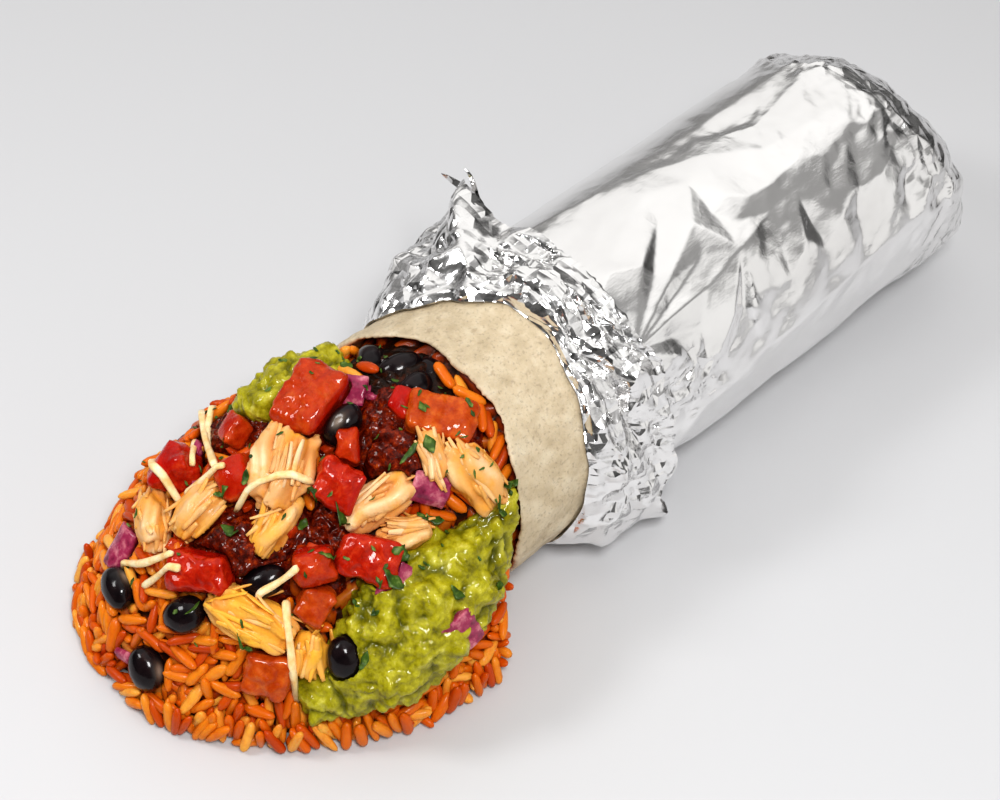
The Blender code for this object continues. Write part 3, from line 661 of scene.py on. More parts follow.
def foil_rows(degrees):
    """Rings of the sheet from the middle of the closed end, along the body, under the cuff and back over it.

    Returns the points, how far along the sheet each is, the first ring that the cuff hides and
    the cuff's first ring, and the share along the cuff of each of its rings.
    """
    rows, places = [], []
    tip = end_tip(0)
    for share in np.linspace(0.04, 0.96, 10):
        rows.append(mix(tip, end_row(degrees, 0, 90), share))
        places.append(FAR_END_X + 0.028 + 0.0205 * (1 - share) + 0 * degrees)
    for turn in np.linspace(90, 4, 34):
        rows.append(end_row(degrees, 0, turn))
        places.append(FAR_END_X - FAR_CORNER - 0.008 + FAR_CORNER * math.radians(turn) + 0 * degrees)
    side_end = FAR_END_X - FAR_CORNER - set_back(degrees)
    for t in np.linspace(0, 1, 130):
        x = mix(side_end, CUFF_BACK_X - 0.008, t)
        rows.append(row_at(x, degrees, 0.0))
        places.append(x)
    hidden_from = len(rows)
    front = around(FOIL_FRONT_X, degrees)
    for t in np.linspace(0.2, 1.0, 6):
        x = mix(CUFF_BACK_X - 0.008, front + 0.0004, t)
        rows.append(row_at(x, degrees, -0.0008 * t))
        places.append(x)
    cuff_from = len(rows)
    back, flare = cuff_back(degrees), around(CUFF_FLARE, degrees)
    alongs = np.linspace(1.0, 0.0, 66)
    for along in alongs:
        share = np.interp(along, (0, 0.35, 0.7, 0.88, 1), (1.0, 0.85, 0.6, 0.22, 0.02))
        crumple = 1 + 0.45 * ring_noise(degrees, 4.0, along * 3.0)
        lift = mix(0.0009, -0.0005, smooth(0.93, 1.0, along))
        x = mix(back, front, along)
        rows.append(row_at(x, degrees, share * flare * crumple + lift))
        places.append(x)
    return np.array(rows), np.array(places), hidden_from, cuff_from, alongs


def horn(batch, degrees_at, height, lean, width):
    """A thin corner of foil that stands up from the cuff's back edge, creased down its middle."""
    steps, spread = 12, (-1.0, -0.5, 0.0, 0.5, 1.0)
    x0 = float(cuff_back(np.array([degrees_at]))[0])
    flare = float(around(CUFF_FLARE, degrees_at)) * 0.86
    y0, z0 = (float(c) for c in oval(np.array(degrees_at), flare))
    out = Vector((0, math.cos(math.radians(degrees_at)), math.sin(math.radians(degrees_at))))
    round_way = Vector((0, -out.z, out.y))
    points = []
    for i in range(steps):
        t = i / (steps - 1)
        centre = Vector((x0, y0, z0)) + out * height * t + Vector((1, 0, 0)) * lean * t * t
        centre += round_way * 0.0016 * math.sin(t * 4.2 + degrees_at)
        half = width * (1 - t**2.2) ** 0.6 + 0.00015
        for side in spread:
            fold = Vector((1, 0, 0)) * half * 0.7 * abs(side)
            points.append(centre + round_way * half * side + fold - out * 0.003 * (1 - t))
    faces = []
    for i in range(steps - 1):
        for j in range(len(spread) - 1):
            a = i * len(spread) + j
            faces.append((a, a + 1, a + len(spread) + 1, a + len(spread)))
    batch.add([tuple(p) for p in points], faces, crushed=0.6)


def foil_piece(material):
    degrees = np.arange(FOIL_COLUMNS) * 360 / FOIL_COLUMNS
    points, places, hidden_from, cuff_from, alongs = foil_rows(degrees)
    shape = points.shape[:2]
    v = np.broadcast_to(np.radians(degrees) * FOIL_TURN / math.tau, shape)
    turns = np.broadcast_to(degrees, shape)
    normals = grid_normals(points)
    radial = points * np.array([0, 1, 1]) - np.array([0, 0, AXIS_HEIGHT])
    radial /= np.maximum(np.linalg.norm(radial, axis=-1, keepdims=True), 1e-9)
    normals[hidden_from:] = radial[hidden_from:]

    body = slice(0, cuff_from)
    base = folded(places[body].ravel(), turns[body].ravel(), points[body].reshape(-1, 3),
                  normals[body].reshape(-1, 3)).reshape(points[body].shape)
    shown = np.ones(cuff_from)
    shown[hidden_from:] = 0
    relief = body_relief(places[body].ravel(), v[body].ravel(), turns[body].ravel()).reshape(base.shape[:2])
    moved = points.copy()
    shown = shown[:, None, None]
    moved[body] = mix(points[body], base, shown) + normals[body] * relief[..., None] * shown

    cuff = slice(cuff_from, shape[0])
    along = np.repeat(alongs, FOIL_COLUMNS)
    fade = smooth(1.0, 0.76, alongs)[:, None]
    raised = cuff_relief(along, turns[cuff].ravel(), v[cuff].ravel(), 0).reshape(-1, FOIL_COLUMNS)
    shoved = cuff_relief(along, turns[cuff].ravel(), v[cuff].ravel(), 50).reshape(-1, FOIL_COLUMNS)
    resting = row_at(points[cuff][..., 0], turns[cuff], 0.0)
    standing = ((points[cuff] - resting) * normals[cuff]).sum(-1)
    raised = np.maximum(raised * (0.06 + 0.94 * fade), -0.0003 - standing)
    moved[cuff] += normals[cuff] * raised[..., None]
    moved[cuff][..., 0] += 0.7 * shoved * fade
    moved[..., 2] = np.maximum(moved[..., 2], 0.00015)
    moved[..., 2] -= 0.6 * np.maximum(moved[..., 2] - FOIL_TOP, 0)

    batch = Batch()
    faces = [tuple(f) for f in grid_faces(shape[0], FOIL_COLUMNS)]
    tip_index = shape[0] * FOIL_COLUMNS
    faces += [(tip_index, (j + 1) % FOIL_COLUMNS, j) for j in range(FOIL_COLUMNS)]
    knot = smooth(1.3, 0.4, np.hypot((places + 0.038) / 0.016, (turns - 162) / 18))
    crushed = np.maximum(0.06 + 0.3 * smooth(0.056, 0.068, places), 0.8 * knot)
    crushed[cuff] = 1 - 0.85 * np.maximum(bump(turns[cuff], 64, 9), bump(turns[cuff], 208, 18))
    batch.add(np.concatenate([moved.reshape(-1, 3), [end_tip(0)]]), faces, crushed=np.append(crushed, 0.1))
    horn(batch, 32.0, 0.0118, -0.001, 0.0022)
    horn(batch, 42.0, 0.0090, 0.0010, 0.0014)
    foil = batch.piece("foil", material, "foil", "foil_wrap")
    foil.data.set_sharp_from_angle(angle=math.radians(FOIL_CREASE))
    return foil


def add_object(name, points, faces, material, attributes=None):
    """A mesh whose faces are a list of corner tuples, which may differ in length."""
    mesh = bpy.data.meshes.new(name)
    mesh.from_pydata([tuple(p) for p in np.asarray(points)], [], [tuple(map(int, f)) for f in faces])
    mesh.validate()
    bm = bmesh.new()
    bm.from_mesh(mesh)
    bmesh.ops.recalc_face_normals(bm, faces=bm.faces)
    bm.to_mesh(mesh)
    bm.free()
    mesh.shade_smooth()
    for key, values in (attributes or {}).items():
        layer = mesh.attributes.new(key, "FLOAT", "POINT")
        layer.data.foreach_set("value", np.asarray(values, np.float32).ravel())
    obj = bpy.data.objects.new(name, mesh)
    bpy.context.scene.collection.objects.link(obj)
    obj.data.materials.append(material)
    return obj


# ---------------------------------------------------------------- tortilla
def rim_x(degrees):
    """X of the tortilla's mouth, which sits back at the top and reaches out at the sides."""
    bow = RIM_BOW * np.cos(np.radians(2 * (degrees - 100)))
    return RIM_X + bow + 0.0012 * ring_noise(degrees, 3, 9)


def lap(degrees):
    """How far the sheet's overlapping inner edge stands in from the wall."""
    return LAP_DEPTH * smooth(145, 154, degrees) * smooth(250, 175, degrees)


def tortilla_piece(material):
    columns = 300
    degrees = np.arange(columns) * 360 / columns
    rim = rim_x(degrees) + 0.0005 * ring_noise(degrees, 20, 4) + 0.0003 * ring_noise(degrees, 55, 6)
    outer, inner = -TORTILLA_INSET, -TORTILLA_INSET - TORTILLA_WALL
    rows, stain = [end_tip(TORTILLA_INSET)[None] + 0 * row_at(0, degrees, 0)], [0.0]
    for turn in (90, 60, 30):
        rows.append(end_row(degrees, TORTILLA_INSET + 0.0016, turn))
        stain.append(0.0)
    for x in (0.055, 0.0, -0.045):
        rows.append(row_at(x, degrees, outer - 0.0016))
        stain.append(0.0)
    for t in np.linspace(0.05, 1, 60):
        rows.append(row_at(mix(-0.050, rim + 0.0010, t), degrees, outer))
        stain.append(0.0)
    for turn in np.linspace(20, 160, 8):
        a = math.radians(turn)
        across = 0.5 - 0.5 * math.cos(a)
        rows.append(row_at(rim + 0.0010 - 0.0010 * math.sin(a), degrees, mix(outer, outer - RIM_WALL, across)))
        stain.append(smooth(60, 140, turn) * 0.7)
    lapped = inner - lap(degrees)
    for t in np.linspace(0, 1, 16):
        rows.append(row_at(rim + 0.0010 + 0.016 * t, degrees, mix(outer - RIM_WALL, lapped, smooth(0, 0.5, t))))
        stain.append(0.8 * smooth(0.0, 0.2, t) + 0.2)
    for x in (-0.050, 0.0, 0.055):
        rows.append(row_at(x, degrees, lapped))
        stain.append(1.0)
    for turn in (30, 60, 90):
        rows.append(end_row(degrees, TORTILLA_INSET + TORTILLA_WALL, turn))
        stain.append(1.0)
    rows.append(end_tip(TORTILLA_INSET + TORTILLA_WALL)[None] + 0 * row_at(0, degrees, 0))
    stain.append(1.0)
    points = np.array(rows)
    normals = grid_normals(points)
    flat = points.reshape(-1, 3)
    relief = 0.00055 * lumps(flat, 0.011, 31, 3) + 0.00016 * lumps(flat, 0.0028, 33, 2)
    near_mouth = smooth(-0.055, -0.066, flat[:, 0])
    moved = flat + normals.reshape(-1, 3) * (relief * near_mouth)[:, None]
    moved[:, 2] = np.maximum(moved[:, 2], 0.0009)
    blotch = 0.35 * lumps(flat, 0.004, 35, 2)
    stains = np.repeat(stain, columns)
    stains = np.clip(stains * (0.75 + blotch), 0, 1)
    obj = add_object("tortilla", moved, grid_faces(len(rows), columns), material, {"stain": stains})
    return finished(obj, "tortilla", "tortilla")


# ---------------------------------------------------------------- rice heap
def heap_spread(x, degrees):
    """0 in the mouth, 1 where the heap is at full width, which the near side reaches first."""
    far_side = 0.5 + 0.5 * np.cos(np.radians(degrees))
    return smooth(HEAP_START_X, HEAP_WIDEST_X - HEAP_FAR_SIDE_LAG * far_side, x)


def heap_centre_y(x):
    start = HEAP_SHIFT_Y * smooth(RIM_X, HEAP_WIDEST_X, x)
    return start + HEAP_FRONT_SHIFT_Y * smooth(HEAP_WIDEST_X - 0.020, HEAP_END_X, x)


def heap_half_width(x):
    reach = np.maximum(HEAP_WIDEST_X - x, 0) / (HEAP_WIDEST_X - HEAP_END_X)
    return HEAP_HALF_WIDTH * np.sqrt(np.maximum(1 - reach**2, 0))


def heap_ridge(x):
    reach = np.clip((RIM_X - x) / (RIM_X - HEAP_END_X), 0, 1)
    return HEAP_HEIGHT * (1 - reach**2.1) ** 0.66


def heap_row(x, degrees):
    """A ring of the filling: the mouth's oval that opens into the heap's dome."""
    spread = heap_spread(x, degrees)
    y, z = oval(degrees, -RICE_INSET - lap(degrees))
    a = np.radians(degrees)
    heap_y = heap_centre_y(x) + heap_half_width(x) * np.cos(a)
    heap_z = heap_ridge(x) * np.maximum(np.sin(a), 0) ** HEAP_ROUNDNESS
    return np.stack([np.full_like(y, x), mix(y, heap_y, spread), mix(z, heap_z, spread)], -1)


def heap_top(x, y):
    """Height of the filling's surface, without its grains."""
    half = np.maximum(heap_half_width(x), 1e-6)
    across = (y - heap_centre_y(x)) / half
    heap = heap_ridge(x) * np.maximum(1 - across**2, 0) ** (HEAP_ROUNDNESS / 2)
    inside = y / (BODY_WIDTH / 2 - RICE_INSET)
    mouth = AXIS_HEIGHT + (BODY_HEIGHT / 2 - RICE_INSET) * np.sqrt(np.maximum(1 - inside**2, 0))
    return mix(mouth, heap, heap_spread(x, 90))


def pressed_grains(points, normals, rng):
    """Height and tone of a layer of grains pressed into the filling's surface, none over another. The tone stays 0
    between the grains, where the core takes its near-black painted shade.
    """
    half_length, half_width, rise = CORE_GRAIN_SIZE
    stations = np.array(GRAIN_STATIONS) * 2 * half_length
    height, tone = np.zeros(len(points)), np.zeros(len(points))
    facing = (normals[:, 2] > -0.9) & (np.linalg.norm(normals, axis=1) > 0.5)
    shown = np.flatnonzero((points[:, 0] < RIM_X + 0.020) & facing)
    places, outs = points[shown], normals[shown]
    laid = np.full((CORE_GRAINS * len(stations), 3), 9.0)
    count = 0
    for attempt, pick in enumerate(rng.choice(len(shown), CORE_TRIES)):
        if count == len(laid):
            break
        out = outs[pick]
        way = np.cross(out, rng.normal(size=3))
        way /= np.linalg.norm(way)
        samples = places[pick] + stations[:, None] * way
        closest = half_width * mix(1.9, 1.4, attempt / CORE_TRIES)
        if count and ((laid[None, :count] - samples[:, None]) ** 2).sum(-1).min() < closest**2:
            continue
        laid[count:count + len(stations)] = samples
        count += len(stations)
        offset = places - places[pick]
        near = np.flatnonzero((offset**2).sum(1) < half_length**2)
        along, across = offset[near] @ way, offset[near] @ np.cross(out, way)
        level = 1 - (along / half_length) ** 4 - (across / half_width) ** 2
        risen = rise * np.sqrt(np.maximum(level, 0)) * rng.uniform(0.6, 1.0)
        over = risen > height[shown[near]]
        height[shown[near[over]]] = risen[over]
        tone[shown[near[over]]] = rng.uniform(0.2, 0.9)
    return height, tone


def rice_core(material):
    """The filling under the loose grains, with a layer of grains pressed into it, and painted shade between the grains
    and inside the mouth.
    """
    columns = 400
    degrees = np.arange(columns) * 360 / columns
    rows = [end_tip(RICE_INSET)[None] + 0 * row_at(0, degrees, 0)]
    rows += [end_row(degrees, RICE_INSET, turn) for turn in (90, 60, 30)]
    rows += [row_at(x, degrees, -RICE_INSET - lap(degrees)) for x in (0.050, -0.020, -0.060)]
    heap_xs = np.linspace(-0.075, HEAP_END_X + 0.0045, 190)
    rows += [heap_row(x, degrees) for x in heap_xs]
    front = np.array([HEAP_END_X + 0.0042, heap_centre_y(HEAP_END_X), 0.001])
    rows.append(front[None] + 0 * row_at(0, degrees, 0))
    points = np.array(rows)
    normals = grid_normals(points)
    flat, out = points.reshape(-1, 3), normals.reshape(-1, 3)
    outside = smooth(RIM_X + 0.012, RIM_X - 0.004, flat[:, 0])
    half, ridge = heap_half_width(flat[:, 0]), heap_ridge(flat[:, 0])
    centre = heap_centre_y(flat[:, 0])
    sunk = CORE_DEPTH * outside
    shrunk = flat.copy()
    shrunk[:, 1] = centre + (flat[:, 1] - centre) * (1 - sunk / np.maximum(half, 2 * CORE_DEPTH))
    shrunk[:, 2] = flat[:, 2] * (1 - sunk / np.maximum(ridge, 2 * CORE_DEPTH))
    height, tone = pressed_grains(shrunk, out, np.random.default_rng(41))
    moved = shrunk + out * (height * smooth(-1.0, -0.7, out[:, 2]))[:, None]
    # Painted shade inside the mouth: the tone falls to 0 there, which takes the near-black colour.
    tone = tone * smooth(RIM_X + 0.008, RIM_X - 0.004, flat[:, 0])
    moved[:, 2] = np.maximum(moved[:, 2], 0.0008)
    obj = add_object("rice_core", moved, grid_faces(len(rows), columns), material, {"tone": tone})
    return finished(obj, "rice", "rice")


def tree_of(*objects):
    """A search tree over the meshes of some objects."""
    points, faces = [], []
    for obj in objects:
        start = len(points)
        points += [v.co.copy() for v in obj.data.vertices]
        faces += [[start + i for i in f.vertices] for f in obj.data.polygons]
    return BVHTree.FromPolygons(points, faces)


def is_clear(tree, point, margin):
    """Whether a point is outside the solids of a tree and at least margin away from them."""
    place, normal, _, distance = tree.find_nearest(Vector(point))
    return distance > margin and (Vector(point) - place).dot(normal) > 0


GRAIN_RINGS = 8
GRAIN_SIDES = 8


def grain_template():
    """A unit grain along X, one long and one wide: its points and faces."""
    ts = np.sin(np.linspace(-0.455, 0.455, GRAIN_RINGS) * math.pi)
    a = np.arange(GRAIN_SIDES) * math.tau / GRAIN_SIDES
    rings = []
    for t in ts:
        r = 0.5 * (1 - abs(t) ** 3.6) ** 0.5
        rings.append(np.stack([np.full(GRAIN_SIDES, t / 2), r * np.cos(a), r * np.sin(a)], -1))
    points = np.concatenate(rings + [np.array([[-0.5, 0, 0], [0.5, 0, 0]])])
    faces = [tuple(f) for f in grid_faces(GRAIN_RINGS, GRAIN_SIDES)]
    first, last = len(points) - 2, len(points) - 1
    top = (GRAIN_RINGS - 1) * GRAIN_SIDES
    for j in range(GRAIN_SIDES):
        k = (j + 1) % GRAIN_SIDES
        faces.append((first, k, j))
        faces.append((last, top + j, top + k))
    return points, faces


def heap_skin():
    """Points, outward normals and areas all over the heap's outline."""
    degrees = np.arange(-46, 227, 1.5)
    grid = np.array([heap_row(x, degrees) for x in np.linspace(RIM_X + 0.004, HEAP_END_X + 0.001, 130)])
    along = np.gradient(grid, axis=0)
    across = np.gradient(grid, axis=1)
    normals = np.cross(along, across)
    areas = np.linalg.norm(normals, axis=-1)
    normals /= np.maximum(areas[..., None], 1e-12)
    below = (degrees < -4) | (degrees > 188)
    areas[:, below] *= grid[:, below, 2] > 0.002
    return grid.reshape(-1, 3), normals.reshape(-1, 3), areas.ravel()


def pack_grains(solids, rng):
    """Lays grains in the heap's skin one by one, clear of the toppings and of each other."""
    skin, normals, areas = heap_skin()
    bare = np.array([is_clear(solids, point, 0.0004) for point in skin])
    weights = areas * bare * (1 + 1.2 * smooth(0.012, 0.002, skin[:, 2]))
    picks = rng.choice(len(skin), GRAIN_TRIES, p=weights / weights.sum())
    stations = np.array(GRAIN_STATIONS)
    laid = np.full((GRAIN_COUNT * len(stations), 3), 9.0)
    grains = []
    for attempt, pick in enumerate(picks):
        if len(grains) == GRAIN_COUNT:
            break
        early = attempt / GRAIN_TRIES
        length, width = rng.uniform(*GRAIN_LENGTH), rng.uniform(*GRAIN_WIDTH)
        out = normals[pick]
        way = np.cross(out, rng.normal(size=3))
        way = way / np.linalg.norm(way) + out * rng.normal(0, 0.24)
        way /= np.linalg.norm(way)
        fringe = 0.0022 * rng.random() * smooth(0.010, 0.002, skin[pick][2])
        centre = skin[pick] + out * (rng.uniform(-0.0024, 0.0002 + 0.0012 * early) + fringe)
        samples = centre + stations[:, None] * length * way
        if samples[:, 1].max() > HEAP_REACH_Y[1] or samples[:, 1].min() < HEAP_REACH_Y[0]:
            continue
        low = samples[:, 2].min() - width / 2
        if low < 0:
            centre[2] -= low
            samples[:, 2] -= low
        count = len(grains) * len(stations)
        near = laid[:count]
        if count and ((near[None] - samples[:, None]) ** 2).sum(-1).min() < (width * mix(0.80, 0.38, early)) ** 2:
            continue
        if not all(is_clear(solids, sample, width * 0.35) for sample in samples):
            continue
        laid[count:count + len(stations)] = samples
        grains.append((centre, way, out, length, width))
    return grains


def rice_grains(material, solids):
    rng = np.random.default_rng(7)
    template, faces = grain_template()
    batch = Batch()
    for centre, way, out, length, width in pack_grains(solids, rng):
        side = np.cross(out, way)
        side /= np.linalg.norm(side)
        up = np.cross(way, side)
        roll = rng.uniform(0, math.tau)
        bend, taper = rng.uniform(0.0, 0.14), rng.uniform(-0.22, 0.22)
        fat = 1 + taper * template[:, 0] + 0.06 * np.sin(8 * template[:, 0] + rng.uniform(0, 6))
        across = template[:, 1] * width * fat + bend * length * (template[:, 0] ** 2 - 0.08)
        thick = template[:, 2] * width * 0.84 * fat
        turned_side = math.cos(roll) * side + math.sin(roll) * up
        turned_up = np.cross(way, turned_side)
        points = centre + template[:, :1] * length * way + across[:, None] * turned_side + thick[:, None] * turned_up
        points[:, 2] = np.maximum(points[:, 2], 0.0001)
        tone = rng.beta(1.5, 1.4)
        batch.add(points, faces, tone=tone)
    return batch.piece("rice_grains", material, "rice")


# ---------------------------------------------------------------- toppings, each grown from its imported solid
def remeshed(node, voxel, relax=4):
    """Points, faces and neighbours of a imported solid, cut into even cells and smoothed."""
    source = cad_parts[node]
    work = bpy.data.objects.new("work", source.data.copy())
    bpy.context.scene.collection.objects.link(work)
    remesh = work.modifiers.new("even", "REMESH")
    remesh.mode = "VOXEL"
    remesh.voxel_size = voxel
    depsgraph = bpy.context.evaluated_depsgraph_get()
    mesh = bpy.data.meshes.new_from_object(work.evaluated_get(depsgraph))
    points = np.empty(len(mesh.vertices) * 3)
    mesh.vertices.foreach_get("co", points)
    points = points.reshape(-1, 3)
    edges = np.empty(len(mesh.edges) * 2, int)
    mesh.edges.foreach_get("vertices", edges)
    edges = edges.reshape(-1, 2)
    faces = [tuple(f.vertices) for f in mesh.polygons]
    bpy.data.objects.remove(work, do_unlink=True)
    for _ in range(relax):
        points = relaxed(points, edges, 0.55)
    return points, faces, edges


def relaxed(points, edges, amount):
    total, count = np.zeros_like(points), np.zeros(len(points))
    for a, b in ((0, 1), (1, 0)):
        np.add.at(total, edges[:, a], points[edges[:, b]])
        np.add.at(count, edges[:, a], 1)
    return mix(points, total / count[:, None], amount)


def normals_of(points, faces):
    corners = np.array([f[:4] if len(f) > 3 else (*f, f[0]) for f in faces])
    a, b = points[corners[:, 2]] - points[corners[:, 0]], points[corners[:, 3]] - points[corners[:, 1]]
    face_normals = np.cross(a, b)
    total = np.zeros_like(points)
    for k in range(4):
        np.add.at(total, corners[:, k], face_normals)
    return total / np.maximum(np.linalg.norm(total, axis=1, keepdims=True), 1e-12)


def long_axes(points):
    """The middle of a cloud of points, and its axes from longest to shortest."""
    middle = points.mean(0)
    _, _, axes = np.linalg.svd(points - middle, full_matrices=False)
    return middle, axes


class Batch:
    """Many small shapes gathered into one piece."""

    def __init__(self):
        self.points, self.faces, self.values, self.size = [], [], {}, 0

    def add(self, points, faces, **values):
        self.faces += [tuple(int(i) + self.size for i in f) for f in faces]
        self.points.append(np.asarray(points))
        for key, value in values.items():
            self.values.setdefault(key, []).append(np.broadcast_to(value, len(points)))
        self.size += len(points)

    def piece(self, name, material, slot, *nodes):
        values = {key: np.concatenate(parts) for key, parts in self.values.items()}
        points = np.concatenate(self.points)
        points[:, 2] = np.maximum(points[:, 2], 0.0001)
        return finished(add_object(name, points, self.faces, material, values), slot, *nodes)


class Ground:
    """The heap's surface seen from above, with whatever lies on it."""

    def __init__(self, *objects):
        degrees = np.arange(-4, 188, 2.0)
        grid = np.array([heap_row(x, degrees) for x in np.linspace(RIM_X + 0.020, HEAP_END_X, 110)])
        rows, columns = grid.shape[:2]
        faces = [tuple(f) for f in grid_faces(rows, columns) if f[1] % columns]
        self.skin = BVHTree.FromPolygons([tuple(p) for p in grid.reshape(-1, 3)], faces)
        self.top = tree_of(*objects) if objects else None

    def height(self, x, y):
        """The highest surface above a place on the floor."""
        heights = [0.0]
        for tree in (self.skin, self.top):
            hit = tree.ray_cast(Vector((x, y, 0.12)), Vector((0, 0, -1)))[0] if tree else None
            if hit:
                heights.append(hit.z)
        return max(heights)


def smear(batch, ground, place, size, turn, thickness, seed, grain):
    """A thin patch of sauce that follows the heap and dips under the food at its border.

    place is (x, y) in mm, size its two half-widths in mm, and turn its angle in degrees.
    """
    rings, sides = 34, 84
    degrees = np.arange(sides) * 360 / sides
    edge = 1 + 0.30 * ring_noise(degrees, 1.3, seed) + 0.12 * ring_noise(degrees, 4, seed + 3)
    cosine, sine = math.cos(math.radians(turn)), math.sin(math.radians(turn))
    rows = []
    for depth, radii in ((0, np.linspace(0.02, 1.0, rings)), (1, np.linspace(0.96, 0.02, 10))):
        for radius in radii:
            along = radius * edge * size[0] / 1000 * np.cos(np.radians(degrees))
            across = radius * edge * size[1] / 1000 * np.sin(np.radians(degrees))
            x = place[0] / 1000 + along * cosine - across * sine
            y = place[1] / 1000 + along * sine + across * cosine
            z = np.array([ground.height(a, b) for a, b in zip(x, y)])
            if depth:
                z = z - 0.0058
            else:
                z += thickness * (1 - radius**4) - 0.0045 * radius**5
            rows.append(np.stack([x, y, z], -1))
    points = np.array(rows).reshape(-1, 3)
    points = points.reshape(rings + 10, sides, 3)
    flat = points[:rings].reshape(-1, 3)
    relief = 0.40 * lumps(flat, grain * 2.4, seed, 2) + 0.8 * (2 * np.abs(cloud(flat, grain, seed + 3)) - 0.6)
    points[:rings] += (np.array([0, -0.3, 0.9]) * (0.0012 * relief)[:, None]).reshape(rings, sides, 3)
    points[..., 2] = np.maximum(points[..., 2], 0.0003)
    faces = [tuple(f) for f in grid_faces(rings + 10, sides)]
    faces.append(tuple(range(sides)))
    faces.append(tuple(range((rings + 9) * sides, (rings + 10) * sides))[::-1])
    batch.add(points.reshape(-1, 3), faces)


SALSA_SMEARS = (
    ((-112, -5), (14.5, 13.0), 60, 0.0020),
    ((-152, 3), (19.0, 11.5), -55, 0.0019),
    ((-134, 32), (9.5, 13.0), 20, 0.0014),
    ((-137, 55), (6.5, 7.0), 0, 0.0012),
    ((-138, -10), (11.0, 8.0), 30, 0.0015),
    ((-102, -16), (7.5, 10.0), 12, 0.0009),
    ((-124, 12), (9.0, 14.0), 0, 0.0008),
    ((-160, 22), (8.0, 8.0), 0, 0.0006),
)
BEAN_SMEARS = (
    ((-98, 6), (10.5, 19.0), 0, -0.0006),
    ((-109, 4), (7.0, 8.0), 0, 0.0),
)


def smears(name, table, material, slot, grain, seed):
    batch, ground = Batch(), Ground()
    for number, (place, size, turn, thickness) in enumerate(table):
        smear(batch, ground, place, size, turn, thickness, seed + 11 * number, grain)
    return batch.piece(name, material, slot)


def tube(path, up, widths, thicknesses, sides=8, squareness=1.0):
    """A closed flattened tube along a path: its points and faces."""
    path = np.asarray(path, float)
    way = np.gradient(path, axis=0)
    way /= np.maximum(np.linalg.norm(way, axis=1, keepdims=True), 1e-12)
    side = np.cross(way, up)
    side /= np.maximum(np.linalg.norm(side, axis=1, keepdims=True), 1e-12)
    rise = np.cross(side, way)
    a = (np.arange(sides) + 0.5) * math.tau / sides
    across = np.sign(np.cos(a)) * np.abs(np.cos(a)) ** squareness
    high = np.sign(np.sin(a)) * np.abs(np.sin(a)) ** squareness
    spread = side[:, None] * across[None, :, None] * (np.asarray(widths) / 2)[:, None, None]
    spread = spread + rise[:, None] * high[None, :, None] * (np.asarray(thicknesses) / 2)[:, None, None]
    points = (path[:, None] + spread).reshape(-1, 3)
    faces = [tuple(f) for f in grid_faces(len(path), sides)]
    faces.append(tuple(range(sides)))
    faces.append(tuple(range((len(path) - 1) * sides, len(path) * sides))[::-1])
    return points, faces


def curve_through(places, count):
    """A smooth line of count points through a few places."""
    places = np.array(places, float)
    keys = np.linspace(0, 1, len(places))
    t = np.linspace(0, 1, count)
    line = np.stack([np.interp(t, keys, places[:, axis]) for axis in range(places.shape[1])], -1)
    for _ in range(count // 5):
        line[1:-1] = (line[:-2] + 2 * line[1:-1] + line[2:]) / 4
    return line


CHEESE_SHREDS = (
    ((-130, 47), (-139, 38), (-143, 32)),
    ((-131, 52), (-141, 36), (-149, 20)),
    ((-141, 41), (-150, 29)),
    ((-149, 50), (-157, 37), (-157, 26)),
    ((-155, 26), (-148, 17)),
    ((-174, 31), (-173, 22), (-169, 13)),
    ((-175, 20), (-170, 9)),
    ((-160, -8), (-155, -11), (-151, -14)),
    ((-155, -13), (-158, -17), (-160, -20), (-163, -24)),
    ((-151, 10), (-144, 4), (-136, -3)),
)


def cheese(material, ground):
    batch = Batch()
    rng = np.random.default_rng(131)
    for places in CHEESE_SHREDS:
        line = curve_through(np.array(places) / 1000, 22)
        heights = np.array([ground.height(x, y) for x, y in line])
        for _ in range(260):
            heights[1:-1] = np.maximum(heights[1:-1], (heights[:-2] + heights[2:]) / 2 - 0.00001)
        radius = rng.uniform(0.00085, 0.00105)
        path = np.column_stack([line, heights + radius * 0.7])
        widths = 2 * radius * (1 + 0.12 * np.sin(np.linspace(0, 7, len(path)) + rng.uniform(0, 6)))
        widths[[0, -1]] *= 0.7
        batch.add(*tube(path, (0.1, 0, 1), widths, widths * 0.85, 8, 0.75))
    return batch.piece("cheese", material, "rice")


HERB_LEAVES = (
    ((-156, 6), 5.2, 2.8), ((-152, 14), 4.0, 2.2), ((-104, 40), 8.0, 3.0), ((-111, -18), 5.0, 3.0),
    ((-116, -16), 6.5, 1.6), ((-116, -25), 4.5, 2.6), ((-135, -31), 6.0, 3.6), ((-130, -28), 4.5, 3.0),
    ((-144, -17), 4.4, 2.2), ((-136, -14), 6.0, 2.6), ((-131, 37), 3.6, 2.4), ((-147, 10), 3.4, 2.0),
    ((-138, -5), 4.0, 2.0), ((-142, -5), 3.6, 2.2), ((-98, -33), 5.5, 3.2), ((-120, -25), 3.6, 1.8),
    ((-106, -10), 3.4, 2.0), ((-96, -16), 3.4, 1.4), ((-108, 17), 3.8, 2.2), ((-172, 3), 5.0, 1.8),
    ((-169, -14), 4.6, 1.4), ((-124, -42), 4.0, 2.4), ((-112, -44), 3.2, 2.0), ((-150, -36), 4.2, 2.2),
    ((-133, 44), 3.4, 1.8), ((-104, -36), 3.2, 2.4),
)


# Herbs lie on the heap, none on the floor beside it.
HERB_LOWEST = 0.010


